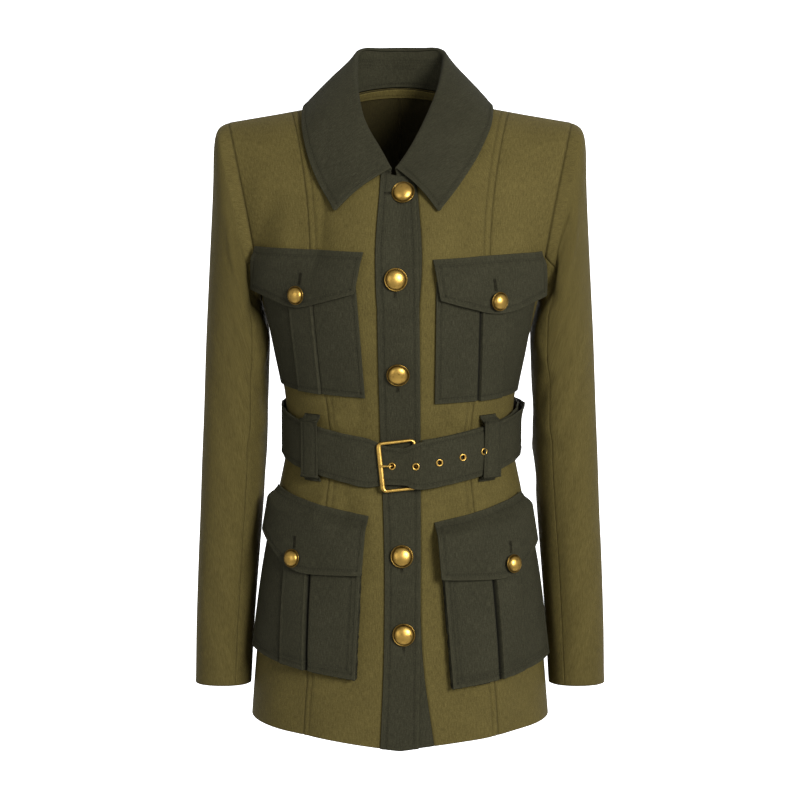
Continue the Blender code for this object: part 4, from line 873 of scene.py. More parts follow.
def cloth_material(name, yarns, pitch, twill):
    """Woven cloth: yarn lines at their real pitch with painted shade in the grooves between them, heathered
    yarns, uneven dye and a soft nap.
    """
    dark, middle, light = yarns
    tree = Tree(name)
    place = tree.add("UVMap", {}, "UV", uv_map="cloth")
    scale = WAVE_BAND / pitch
    if twill:
        slanted = tree.add("Mapping", {"Vector": place, "Rotation": (0.0, 0.0, TWILL_ANGLE)})
        rib = {"Vector": slanted, "Scale": scale, "Distortion": 0.8, "Detail": 1.0, "Detail Scale": 2.0}
        cross = tree.wave("Y", {"Vector": place, "Scale": scale * 1.4, "Distortion": 0.5})
        weave = tree.maths("ADD", tree.wave("X", rib), tree.maths("MULTIPLY", cross, CROSS_SHARE))
    else:
        lines = {"Vector": place, "Detail": 1.0, "Detail Scale": 1.6}
        warp = tree.wave("X", {**lines, "Scale": scale, "Distortion": 0.9})
        weft = tree.wave("Y", {**lines, "Scale": scale * 1.1, "Distortion": 1.1})
        weave = tree.maths("ADD", warp, weft)
    slub = tree.add("Mapping", {"Vector": place, "Scale": (1.0, 0.16, 1.0)})
    yarn = tree.noise(slub, 900.0)
    fleck = tree.noise(place, 620.0, 3.0, 0.6)
    patch = tree.noise(place, 26.0, 4.0, 0.55)
    mixed = tree.maths("MULTIPLY", tree.maths("ADD", yarn, fleck), YARN_SHARE)
    mixed = tree.maths("ADD", mixed, tree.maths("MULTIPLY", patch, PATCH_SHARE))
    base = tree.ramp(mixed, ((0.36, dark), (0.64, light), (0.50, middle)))
    # Painted shade: the colour darkens down into the weave's grooves
    groove_shade = tree.ramp(weave, ((0.0, GROOVE_SHADE), (1.0, WHITE[:3])))
    height = tree.maths("ADD", weave, tree.maths("MULTIPLY", fleck, NAP_SHARE))
    tree.finish({
        "Base Color": tree.times(tree.times(base, groove_shade), tree.shade()),
        "Normal": tree.bump(0.55, 0.00045, height),
        "Roughness": tree.maths("ADD", tree.maths("MULTIPLY", yarn, 0.16), 0.76),
        "Specular IOR Level": 0.12,
        "Sheen Weight": CLOTH_SHEEN,
        "Sheen Roughness": 0.45,
        "Sheen Tint": (*light, 1.0),
    })


def thread_material(name, colour):
    tree = Tree(name)
    twist = tree.noise(tree.place(), 2600.0)
    deep, pale = (tuple(part * share for part in colour) for share in (THREAD_DARK, THREAD_PALE))
    tree.finish({
        "Base Color": tree.ramp(twist, ((0.35, deep), (0.65, pale))),
        "Roughness": 0.7,
        "Specular IOR Level": 0.10,
    })


def metal_material(name):
    """Polished gold coloured metal with uneven tarnish, times the painted shade that the mesh carries (on
    buttons darker towards the rim).
    """
    tree = Tree(name)
    place = tree.place()
    cloud = tree.noise(place, 300.0, 3.0)
    tree.finish({
        "Base Color": tree.times(tree.ramp(cloud, ((0.18, GOLD_DARK), (0.46, GOLD))), tree.shade()),
        "Metallic": 1.0,
        "Roughness": tree.maths("ADD", tree.maths("MULTIPLY", cloud, 0.16), 0.29),
        "Normal": tree.bump(0.06, 0.0002, tree.noise(place, 1500.0)),
    })


def make_materials():
    cloth_material("body_twill", OLIVE_YARNS, TWILL_PITCH, True)
    cloth_material("trim_weave", CHARCOAL_YARNS, PLAIN_PITCH, False)
    thread_material("olive_thread", OLIVE_THREAD)
    thread_material("charcoal_thread", CHARCOAL_THREAD)
    thread_material("buttonhole_thread", HOLE_THREAD)
    metal_material("gold_finish")


# Meshes


def new_piece(name, points, faces, material, slot, replaces=(), shade=None, uv=None):
    """A closed mesh with its faces turned outward, riding on the part's body."""
    mesh = bpy.data.meshes.new(name)
    mesh.from_pydata(points.tolist(), [], faces)
    if uv is not None:
        loops = np.empty(len(mesh.loops), dtype=np.int32)
        mesh.loops.foreach_get("vertex_index", loops)
        mesh.uv_layers.new(name="cloth").data.foreach_set("uv", uv[loops].astype(np.float32).ravel())
    grey = np.ones(len(points)) if shade is None else shade
    colour = mesh.color_attributes.new("shade", "FLOAT_COLOR", "POINT")
    colour.data.foreach_set("color", np.repeat(grey, 4).astype(np.float32))
    mesh.materials.append(MATERIALS[material])
    builder = bmesh.new()
    builder.from_mesh(mesh)
    bmesh.ops.recalc_face_normals(builder, faces=builder.faces[:])
    if builder.calc_volume(signed=True) < 0:
        bmesh.ops.reverse_faces(builder, faces=builder.faces[:])
    builder.to_mesh(mesh)
    builder.free()
    mesh.shade_smooth()
    item = bpy.data.objects.new(name, mesh)
    bpy.context.scene.collection.objects.link(item)
    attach(item, "root")
    if replaces:
        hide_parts(*replaces)
    return item


def grid_faces(rows, columns, first=0):
    index = first + np.arange(rows * columns).reshape(rows, columns)
    return np.stack([index[:-1, :-1], index[:-1, 1:], index[1:, 1:], index[1:, :-1]], axis=-1).reshape(-1, 4)


def border_of(rows, columns):
    """Indices round the border of a grid, in order."""
    index = np.arange(rows * columns).reshape(rows, columns)
    return np.concatenate([index[0, :-1], index[:-1, -1], index[-1, :0:-1], index[:0:-1, 0]])


def row_lengths(grid):
    steps = np.linalg.norm(np.diff(grid, axis=1), axis=2)
    return np.concatenate([np.zeros((grid.shape[0], 1)), np.cumsum(steps, axis=1)], axis=1)


def column_lengths(grid):
    return row_lengths(grid.transpose(1, 0, 2)).T


def pulled_in(grid, sides):
    """The grid with its border drawn in on the chosen sides."""
    result = grid.copy()
    for side in sides:
        old, new = (part if side.endswith("row") else part.swapaxes(0, 1) for part in (grid, result))
        end, next_in = (0, 1) if side.startswith("first") else (-1, -2)
        new[end] += EDGE_ROUND * unit(old[next_in] - old[end])
    return result


def blunted(grid, radius):
    """The grid with both corners of its last row rounded."""
    result = grid.copy()
    for step in (1, -1):
        line = grid[::-1, ::step]
        down, across = radius - column_lengths(line), radius - row_lengths(line)
        inside = (down > 0) & (across > 0)
        keep = np.maximum(down, across) / np.maximum(np.hypot(down, across), 1e-9)
        cut = np.where(inside, 1 - keep, 0.0)
        shift = unit(np.gradient(line, axis=0)) * (down * cut)[..., None]
        shift = shift + unit(np.gradient(line, axis=1)) * (across * cut)[..., None]
        result[::-1, ::step] += shift
    return result


class Cloth:
    """One cut piece as a grid of points with normals, its seams pressed in and its edges rounded.

    Sides of the grid are first_row, last_row, first_column and last_column.
    """

    def __init__(self, kind, name, grid, normals, thickness):
        self.kind = kind
        self.name = name
        self.base = grid
        self.normals = normals
        self.thickness = thickness
        across, down = row_lengths(grid), column_lengths(grid)
        self.uv = np.stack([across, down], axis=-1)
        self.distance = {
            "first_column": across,
            "last_column": across[:, -1:] - across,
            "first_row": down,
            "last_row": down[-1:] - down,
        }
        self.height = np.zeros(grid.shape[:2])
        self.shade = np.ones(grid.shape[:2])
        self.stitched = []

    def seams(self, *sides, share=1.0):
        """Presses the cloth in along seams and paints shade into the pressed line."""
        for side in sides:
            line = share * np.exp(-(self.distance[side] / SEAM_DIP_WIDTH) ** 2)
            self.height -= SEAM_DIP * line
            self.shade *= 1 - PRESSED_SHADE * line

    def wear_and_highlight(self, *sides):
        """Lightens edges: a painted highlight where they catch the light, and wear where they rub."""
        for side in sides:
            self.shade *= 1 + EDGE_WEAR_AND_HIGHLIGHT * np.exp(-(self.distance[side] / EDGE_WEAR_AND_HIGHLIGHT_WIDTH) ** 2)

    def surface(self):
        return self.base + self.normals * self.height[..., None]

    def topstitch(self, side, inset, trims=(), ends=(0.0, 1.0)):
        """Presses a stitch line with painted shade along it, cut off near the sides in trims; it is sewn when
        the piece is built.
        """
        line = np.exp(-((self.distance[side] - inset) / STITCH_DIP_WIDTH) ** 2)
        for other, gap in trims:
            line = line * (self.distance[other] >= gap * STITCH_TRIM_SHARE)
        self.height -= STITCH_DIP * line
        self.shade *= 1 - STITCH_SHADE * line
        self.stitched.append((side, inset, trims, ends))

    def stitch_round(self, inset, top=()):
        """Topstitches both ends and the last row, each cut off at the others, the ends also at the top."""
        for side in ENDS:
            self.topstitch(side, inset, (("last_row", inset), *top))
        self.topstitch("last_row", inset, [(side, inset) for side in ENDS])

    def line(self, side, inset, trims, ends):
        """Points and normals along a stitch line."""
        layers = [self.surface(), self.normals, self.distance[side]]
        layers += [self.distance[other] for other, _ in trims]
        if side.endswith("row"):
            layers = [layer.swapaxes(0, 1) for layer in layers]
        surface, normals, distance, *others = layers
        points, outs = [], []
        for r in range(len(surface)):
            order = np.argsort(distance[r])
            reach = distance[r][order]
            clear = inset <= reach[-1] and ends[0] <= r / (len(surface) - 1) <= ends[1]
            for other, (_, gap) in zip(others, trims):
                clear = clear and np.interp(inset, reach, other[r][order]) >= gap - 1e-5
            if clear:
                points.append(between(inset, reach, surface[r][order]))
                outs.append(between(inset, reach, normals[r][order]))
        return np.array(points), unit(np.array(outs))

    def build(self, held, rests_on, free=SIDES, inside=1.0):
        """Makes the closed shell; its free sides are rounded, the others end square at a seam."""
        outer = self.surface()
        inner = outer - self.normals * self.thickness
        middle = (outer + inner) / 2
        rows, columns = outer.shape[:2]
        edge = border_of(rows, columns)
        count = rows * columns
        points = np.concatenate([
            pulled_in(outer, free).reshape(-1, 3),
            pulled_in(inner, free).reshape(-1, 3),
            middle.reshape(-1, 3)[edge],
        ])
        ring = 2 * count + np.arange(len(edge))
        ring_after, edge_after = np.roll(ring, -1), np.roll(edge, -1)
        faces = np.concatenate([
            grid_faces(rows, columns),
            grid_faces(rows, columns, count)[:, ::-1],
            np.stack([edge, ring, ring_after, edge_after], axis=-1),
            np.stack([ring, count + edge, count + edge_after, ring_after], axis=-1),
        ])
        # The inner faces carry painted shade, darker by the share inside
        flat, shade = self.uv.reshape(-1, 2), self.shade.ravel()
        material, slot = CLOTHS[self.kind]
        item = new_piece(
            "cloth_" + self.name, points, faces.tolist(), material, slot, (self.name,),
            np.concatenate([shade, shade * inside, shade[edge]]), np.concatenate([flat, flat, flat[edge]]))
        STITCH_ROWS[self.kind] += [self.line(*stitches) for stitches in self.stitched]
        return item


# Body and sleeves


def princess(level):
    return value_at(PRINCESS_SEAM, level)


def half_length(level):
    """Length of the front at a level, from the centre line to the side."""
    return length_of(lower_line(level, True) if level <= 1.0 else skin_row(level, True, FINE_SHARES))


def underlap_share(level):
    return value_at(UNDERLAP_SEAM, level) / half_length(level)


def centre_shares(level, start, fractions):
    """Shares of the columns between the centre edge and the princess seam."""
    seam = princess(level)
    even = start + (seam - start) * fractions
    shaped = np.interp(fractions, (0.0, NECK_FRACTION, 1.0), (start, NECK_SHARE, seam))
    blend = max(level - 1.0, 0.0)
    return even * (1 - blend) + shaped * blend


BODY_LEVELS = np.concatenate([edged(1.0, *BODY_ROWS, end=False), np.linspace(1.0, 2.0, UPPER_BODY_ROWS)[1:]])
ARMHOLE = {}


def half_grid(front, start_at, centre, side_part):
    """Half of the front or back, from its centre edge past the princess line to its side."""
    rows = []
    for level in BODY_LEVELS:
        seam = princess(level)
        shares = [centre_shares(level, start_at(level), centre), seam + (1.0 - seam) * side_part[1:]]
        rows.append(skin_row(level, front, np.concatenate(shares)))
    return np.stack(rows)


def sleeve_normals(rows, turns):
    around = ring_points(rows, turns + NORMAL_STEP) - ring_points(rows, turns - NORMAL_STEP)
    grid = ring_points(rows, turns)
    normals = unit(np.cross(around, np.gradient(grid, axis=0)))
    outside = grid - ring_points(rows, turns + 1.0)
    return normals * math.copysign(1.0, np.sum(normals * outside))


def share_normals(front, front_normals, back, back_normals):
    """Makes the normals agree along the side, shoulder and armhole seams, and keeps those of the armhole."""
    lower, upper = BODY_LEVELS <= 1.0, BODY_LEVELS >= 1.0
    shared = unit(front_normals[lower, -1] + back_normals[lower, -1])
    front_normals[lower, -1] = shared
    back_normals[lower, -1] = shared
    old_front, old_back = front_normals[-1].copy(), back_normals[-1].copy()
    pairs = ((front, front_normals, back, old_back), (back, back_normals, front, old_front))
    for grid, normals, other, other_normals in pairs:
        x = grid[-1, :, 0]
        met = between(x, other[-1, :, 0], other_normals)
        on_shoulder = x >= NECK_SIDE[0] - 1e-6
        normals[-1, on_shoulder] = unit(normals[-1] + met)[on_shoulder]
    head_rows = np.array((0.0, SLEEVE_ROWS[0]))
    front_turns, back_turns = 2.0 - BODY_LEVELS[upper], BODY_LEVELS[upper]
    front_met = unit(front_normals[upper, -1] + sleeve_normals(head_rows, front_turns)[0])
    back_met = unit(back_normals[upper, -1] + sleeve_normals(head_rows, back_turns)[0])
    for end in (0, -1):
        front_met[end] = unit(front_met[end] + back_met[end])
        back_met[end] = front_met[end]
    front_normals[upper, -1] = front_met
    back_normals[upper, -1] = back_met
    ARMHOLE["turns"] = np.concatenate([front_turns[::-1], back_turns[1:]])
    ARMHOLE["normals"] = np.concatenate([front_met[::-1], back_met[1:]])


def body_panel(name, grid, normals, front, side, stitched=()):
    if side < 0:
        grid, normals = mirrored(grid), mirrored(normals)
    piece = Cloth("body", name, grid, normals, BODY_CLOTH)
    piece.height += body_relief(grid, front)
    piece.seams(*ENDS, "last_row")
    for row in stitched:
        piece.topstitch(row, SEAM_STITCH_INSET)
    piece.build("hung", (), ("first_row",), INSIDE_SHADE)


def make_body():
    centre, back_centre = (
        np.unique(np.append(edged(CENTRE_WIDTH, *BODY_COLUMNS, end=end) / CENTRE_WIDTH, NECK_FRACTION))
        for end in (True, False))
    side_part, back_side = (
        edged(SIDE_WIDTH, *BODY_COLUMNS, start=start) / SIDE_WIDTH for start in (True, False))
    seam = len(centre) - 1
    for word, side in HALVES:
        front = half_grid(True, underlap_share if side > 0 else lambda level: 0.0, centre, side_part)
        back = half_grid(False, lambda level: 0.0, back_centre, back_side)
        front_normals, back_normals = grid_normals(front), -grid_normals(back)
        back_normals[:, 0] = unit(back_normals[:, 0] * np.array((0.0, 1.0, 1.0)))
        share_normals(front, front_normals, back, back_normals)
        body_panel("centre_front_" + word, front[:, :seam + 1], front_normals[:, :seam + 1], True, side,
                   ("last_column",))
        body_panel("side_front_" + word, front[:, seam:], front_normals[:, seam:], True, side)
        body_panel("back_" + word, back, back_normals, False, side)


def make_sleeves():
    rows = edged(float(CUFF_ROW), *SLEEVE_ROWS)
    under = 1.0 + UNDER_SLEEVE_TURN * np.linspace(-1.0, 1.0, UNDER_SLEEVE_COLUMNS)
    round_arm = np.linspace(0.0, 1.0, UPPER_SLEEVE_COLUMNS)
    upper = 1.0 + UNDER_SLEEVE_TURN + (2.0 - 2 * UNDER_SLEEVE_TURN) * round_arm
    lengths = np.array((SLEEVE_TURN_LENGTH, SLEEVE_ROW_LENGTH))
    creases = np.array(SLEEVE_CREASES) * np.concatenate([lengths, lengths, (1.0, 1.0)])
    fade = np.clip(rows / HEAD_FADE, 0.0, 1.0)
    fade = fade * np.clip((CUFF_ROW - rows) / CUFF_FADE, CUFF_CREASE_SHARE, 1.0)
    once_round = np.array((2 * SLEEVE_TURN_LENGTH, 0.0))
    for word, side in HALVES:
        shift = np.array((0.0 if side < 0 else LEFT_SLEEVE_SHIFT * SLEEVE_TURN_LENGTH, 0.0))
        for part, turns in (("under", under), ("upper", upper)):
            grid, normals = ring_points(rows, turns), sleeve_normals(rows, turns)
            normals[0] = unit(between(np.mod(turns, 2.0), ARMHOLE["turns"], ARMHOLE["normals"]))
            plane = np.stack(np.meshgrid(turns, rows), axis=-1) * lengths + shift
            relief = creased(plane, creases) + creased(plane - once_round, creases)
            clear = np.minimum(turns - turns[0], turns[-1] - turns) / SLEEVE_RIPPLE_CLEAR
            relief = (relief + ripple(plane, SLEEVE_PHASE + side) * ramp_up(clear)) * fade[:, None]
            if side < 0:
                grid, normals = mirrored(grid), mirrored(normals)
            piece = Cloth("body", "%s_sleeve_%s" % (part, word), grid, normals, BODY_CLOTH)
            piece.height += relief
            piece.seams("first_row")
            piece.seams(*ENDS, share=SLEEVE_SEAM_SHARE)
            piece.build("hung", ["side_front_" + word], ("last_row",), INSIDE_SHADE)


# Plackets


def make_plackets():
    over_steps, under_steps = edged(1.0, *OVER_COLUMNS), edged(1.0, *UNDER_COLUMNS)

    def over_places(level):
        start, end = smooth(PLACKET_OVER_EDGES, level)[0]
        return start + over_steps * (end - start)

    def under_places(level):
        return UNDERLAP_START + under_steps * (value_at(UNDERLAP_SEAM, level) - UNDERLAP_START)

    def strip(name, places_at, lift, thickness):
        rows = [skin_row(level, True, places_at(level) / half_length(level)) for level in BODY_LEVELS]
        grid = np.stack(rows)
        piece = Cloth("trim", name, grid, grid_normals(grid), thickness)
        piece.height += lift + body_relief(grid, True)
        piece.wear_and_highlight(*ENDS)
        return piece

    piece = strip("placket_over", over_places, PLACKET_LIFT + TRIM_CLOTH, TRIM_CLOTH)
    for side in ENDS:
        piece.topstitch(side, TOPSTITCH_INSET)
    piece.build("laid", ["centre_front_right"])

    step = (-UNDERLAP_DEPTH, 0.0)
    depth = np.stack([np.interp(under_places(level), UNDERLAP_STEP, step) for level in BODY_LEVELS])
    piece = strip("placket_under", under_places, depth, BODY_CLOTH)
    piece.seams("last_column")
    piece.build("hung", ["centre_front_left"], ("first_row", "last_row", "first_column"))


# Collar


def both_halves(left_half, right_half):
    return np.concatenate([right_half[::-1], left_half[1:]], axis=0)


def whole_collar(left_half, right_half):
    return both_halves(left_half, mirrored(right_half))


def make_collar():
    back_half = np.linspace(0.0, 1.0, HALF_NECK_COLUMNS)
    front_half = edged(1.0, *COLLAR_COLUMNS, start=False)[1:]

    def neck_half(end):
        """Neckline of one half, up to where its stand ends across the front."""
        last = math.asin(end / NECK_SIDE[0]) / (math.pi / 2)
        front = neck_points(1.0 + (last - 1.0) * front_half, True)
        return np.concatenate([neck_points(back_half, False), front])

    steps = travelled(neck_half(0.0))
    shares = steps / steps[-1]
    fold = smooth(COLLAR_FOLD, shares)
    left_fold = fold - smooth(LEFT_FOLD_INSET, shares) * np.array((1.0, 0.0, 0.0))
    base = whole_collar(neck_half(LEFT_STAND_END), neck_half(-RIGHT_STAND_END))
    top = whole_collar(left_fold, fold)
    grid = np.stack([base + (top - base) * share for share in edged(1.0, *STAND_ROWS)])
    inward = grid_normals(grid)
    inward *= math.copysign(1.0, -inward[1, len(top) // 2, 1])
    grid[0] += np.array((0.0, 0.0, SEAM_GAP * 1.5))
    grid = grid + inward * COLLAR_CLOTH
    stand = Cloth("trim", "collar_stand", grid, inward, COLLAR_CLOTH)
    for side, inset, ends in STAND_STITCHES:
        stand.topstitch(side, inset, ends=ends)
    stand.build("folded", BACKS)
    make_leaf(grid, -inward[-1], shares)


def make_leaf(stand, out, shares):
    up = unit(stand[-1] - stand[-2])
    spread = np.abs(np.linspace(-1.0, 1.0, stand.shape[1]))[:, None]
    radius = COLLAR_ROLL + (COLLAR_ROLL_END - COLLAR_ROLL) * spread ** 3
    start = stand[-1] + up * SEAM_GAP
    rows = []
    for angle in np.radians(np.linspace(0.0, ROLL_TURN, ROLL_STEPS + 1)):
        rows.append(start + out * radius * (1 - math.cos(angle)) + up * radius * math.sin(angle))
    edge_xz = smooth(COLLAR_EDGE, shares)
    inset = smooth(LEFT_LEAF_INSET, shares)[:, 0]

    def edge_half(shorts):
        points = []
        for share, (x, z), short in zip(shares, edge_xz, shorts):
            line = level_line(z, share >= LEAF_BACK_SHARE)
            points.append((x - short, np.interp(x - short, line[:, 0], line[:, 1]), z))
        return np.array(points)

    lean = smooth(COLLAR_LIFT_LEAN, shares)
    lean = both_halves(lean, lean)
    lift_out = unit(unit(out * np.array((1.0, 1.0, 0.0))) + np.array((0.0, 0.0, 1.0)) * lean)
    edge = whole_collar(edge_half(inset), edge_half(0 * inset)) + lift_out * COLLAR_LIFT
    forward = ramp_up((shares - BULGE_START) / BULGE_RUN)
    forward = both_halves(forward, forward)[:, None]
    bulge = COLLAR_BULGE * (BULGE_BACK_SHARE + (1 - BULGE_BACK_SHARE) * forward)
    rolled = rows[-1]
    for step in edged(1.0, *LEAF_ROWS, start=False)[1:]:
        rows.append(rolled + (edge - rolled) * step + lift_out * (bulge * math.sin(math.pi * step)))
    leaf = np.stack(rows)
    leaf[:, 1:-1] = (leaf[:, :-2] + 2 * leaf[:, 1:-1] + leaf[:, 2:]) / 4
    leaf = blunted(leaf, LEAF_TIP_RADIUS)
    middle = leaf.shape[1] // 2
    normals = grid_normals(leaf)
    normals *= math.copysign(1.0, normals[-1, middle, 1])
    piece = Cloth("trim", "collar_leaf", leaf, normals, COLLAR_CLOTH)
    piece.wear_and_highlight("last_row", *ENDS)
    plane = piece.uv - piece.uv[:, middle:middle + 1] * np.array((1.0, 0.0))
    rise = np.clip(piece.distance["first_row"] / LEAF_RIPPLE_RISE, 0.0, 1.0)
    piece.height += ripple(plane, LEAF_PHASE) * rise
    piece.stitch_round(TOPSTITCH_INSET, (("first_row", LEAF_ROLL_CLEAR),))
    piece.build("folded", ["collar_stand"])


def make_neck_facing():
    half = np.linspace(0.0, NECK_FRACTION * FACING_REACH, HALF_NECK_COLUMNS)
    rows = []
    for level in np.linspace(2.0 - FACING_SHARE, FACING_TOP_LEVEL, FACING_ROWS):
        places = centre_shares(level, 0.0, half)
        rows.append(skin_row(level, False, both_halves(places, -places)))
    grid = np.stack(rows)
    inward = grid_normals(grid)
    grid = grid + inward * (BODY_CLOTH + FACING_OFFSET + FACING_CLOTH)
    piece = Cloth("body", "neck_facing", grid, inward, FACING_CLOTH)
    piece.topstitch("first_row", FACING_STITCH_INSET)
    piece.build("laid", BACKS)


# Pockets


def pleat_profile(width, inner_fold, outer_fold):
    """Places across a bag with the pleat's raise, the grooves' depth and the painted shade and highlight at
    each.
    """
    low, high = width / 2 - PLEAT_HALF_WIDTH, width / 2 + PLEAT_HALF_WIDTH
    end = edged(low - PLEAT_END_GAP, *BAG_COLUMNS, end=False)
    middle = np.linspace(low + PLEAT_MIDDLE_GAP, high - PLEAT_MIDDLE_GAP, PLEAT_MIDDLE_COLUMNS)
    places = np.unique(np.concatenate([end, width - end, low + PLEAT_NEAR, high + PLEAT_NEAR, middle]))
    raised = PLEAT_RAISE * ramp_up((places - low) / PLEAT_STEP) * ramp_up((high - places) / PLEAT_STEP)
    sunk, shade = np.zeros(len(places)), np.ones(len(places))
    crest_place, crest_width, crest_wear_and_highlight = FOLD_WEAR_AND_HIGHLIGHT
    # Each fold gets painted shade in its groove and a painted highlight with wear on its crest
    for fold, inward, (depth, size, dark) in ((low, 1.0, inner_fold), (high, -1.0, outer_fold)):
        roll = np.exp(-((places - fold - inward * PLEAT_ROLL_PLACE) / PLEAT_ROLL_WIDTH) ** 2)
        raised += PLEAT_ROLL * roll * (raised > 0)
        trough = np.exp(-((places - fold + inward * size) / size) ** 2)
        sunk += depth * trough
        shade += crest_wear_and_highlight * np.exp(-((places - fold - inward * crest_place) / crest_width) ** 2) - dark * trough
    return places, raised, sunk, shade


def bag_points(bag, places, drops, lifts):
    distance = bag.inner + places + bag.slant * drops / bag.height
    return on_front(bag.side * distance, bag.top - bag.drop * places / bag.width - drops, lifts)


def lower_depth(shares, falls):
    """Depth of a lower bag at shares of its width and height, flatter towards its outer top corner."""
    return LOWER_BAG_DEPTH * (1.0 - LOWER_BAG_TAPER * shares ** 3 * (1.0 - falls))


def make_bag(kind, word, bag):
    """Pocket bag with a box pleat; a lower bag also turns in to the body along its gusset."""
    lower = kind == "lower"
    closed = (kind, word) == ("chest", "right")
    slit = LOWER_SLIT if lower else CHEST_SLIT
    places, raised, sunk, shade = pleat_profile(bag.width, CLOSED_FOLD if closed else slit, CLOSED_FOLD)
    drops = edged(bag.height, *BAG_ROWS)
    floor = CHEST_BAG_LIFT + TRIM_CLOTH
    across_fall, down_fall = np.zeros(len(places)), np.zeros(len(drops))
    if lower:
        turn_in = np.linspace(0.0, 1.0, GUSSET_STEPS + 1)[1:]
        across_fall = np.concatenate([turn_in[::-1], across_fall, turn_in])
        down_fall = np.concatenate([down_fall, turn_in])
        profile = (places, raised, sunk, shade)
        places, raised, sunk, shade = (np.pad(part, GUSSET_STEPS, mode="edge") for part in profile)
        drops = np.pad(drops, (0, GUSSET_STEPS), mode="edge")
    place_grid, drop_grid = np.meshgrid(places, drops)
    fall = np.maximum(across_fall, down_fall[:, None])
    lift = floor + raised - sunk + 0 * drop_grid
    if lower:
        lift += lower_depth(place_grid / bag.width, drop_grid / bag.height) - floor
        across_sine = np.sin(math.pi * place_grid / bag.width)
        down_sine = np.sin(math.pi * drop_grid / bag.height)
        lift += LOWER_SAG * across_sine * down_sine
    lift = floor + (lift - floor) * (1 - fall)
    grid = bag_points(bag, place_grid, drop_grid, lift)
    normals = unit(bag_points(bag, place_grid, drop_grid, lift + NORMAL_STEP) - grid)
    if lower:
        bent = grid_normals(grid)
        bent = np.where(np.sum(bent * normals, axis=-1, keepdims=True) < 0, -bent, bent)
        normals = unit(normals * GUSSET_OUT_SHARE + bent)
    piece = Cloth("trim", "%s_pocket_%s" % (kind, word), grid, normals, BAG_CLOTH)
    # Painted shade: darker in the grooves and down the gusset's turn towards the body, lighter on the folds'
    # crests
    piece.shade = shade * (1 - GUSSET_SHADE * fall)
    if lower:
        # The sides of a lower bag are counted from the folds where its gusset turns in
        across, down = piece.uv[..., 0], piece.uv[..., 1]
        piece.distance["first_column"] = across - across[:, GUSSET_STEPS:GUSSET_STEPS + 1]
        piece.distance["last_column"] = across[:, -1 - GUSSET_STEPS:-GUSSET_STEPS] - across
        piece.distance["last_row"] = down[-1 - GUSSET_STEPS:-GUSSET_STEPS] - down
    piece.wear_and_highlight(*ENDS, "last_row")
    for inset in BAG_STITCH_INSETS[kind]:
        piece.stitch_round(inset)
    piece.build("laid", ["centre_front_" + word, "side_front_" + word])


def flap_edge(flap, shares):
    """Height of the flap below its top at shares of its width, rounded at its point."""
    shares = shares[..., None]
    room = np.minimum(1.0, np.minimum(shares, 1.0 - shares) / FLAP_POINT_ROUND)
    spots = shares + room * np.linspace(-FLAP_POINT_ROUND, FLAP_POINT_ROUND, FLAP_POINT_SAMPLES)
    heights = (flap.inner_height, flap.height, flap.outer_height)
    return np.interp(spots, (0.0, flap.point, 1.0), heights).mean(axis=-1)


def flap_points(flap, height, shares, falls, lifts):
    """Points of a flap at shares of its width and falls of a height below its top."""
    distance = flap.inner + flap.width * shares + flap.slant * falls
    return on_front(flap.side * distance, flap.top - flap.drop * shares - height * falls, lifts)


def flap_lift(shares, falls, bag_lift, flare):
    """Inner face of a flap: close to the body at its top, over the bag below, flared at its outer end."""
    over_bag = FLAP_TOP_LIFT + (bag_lift + FLAP_CLEARANCE - FLAP_TOP_LIFT) * ramp_up(falls / FLAP_RISE_SHARE)
    top_flare, bottom_flare = flare
    return over_bag + shares ** 3 * (top_flare + (bottom_flare - top_flare) * falls)


def make_flap(name, flap, lift_of, phase):
    shares = edged(flap.width, *FLAP_COLUMNS) / flap.width
    falls = edged(flap.height, *FLAP_ROWS) / flap.height
    share_grid, fall_grid = np.meshgrid(shares, falls)
    wave = FLAP_WAVE * (0.5 + 0.5 * np.sin(FLAP_WAVE_TURNS * share_grid + phase)) * fall_grid ** 2
    lifts = lift_of(share_grid, fall_grid) + TRIM_CLOTH + wave
    edge = flap_edge(flap, shares)
    outline = flap_points(flap, edge, share_grid, fall_grid, lifts)
    normals = unit(flap_points(flap, edge, share_grid, fall_grid, lifts + NORMAL_STEP) - outline)
    piece = Cloth("trim", name, blunted(outline, CORNER_RADIUS), normals, TRIM_CLOTH)
    piece.wear_and_highlight(*SIDES)
    piece.topstitch("first_row", FLAP_TOP_INSET)
    piece.stitch_round(TOPSTITCH_INSET, (("first_row", FLAP_TOP_INSET),))
    piece.build("hung", [name.replace("flap", "pocket")])


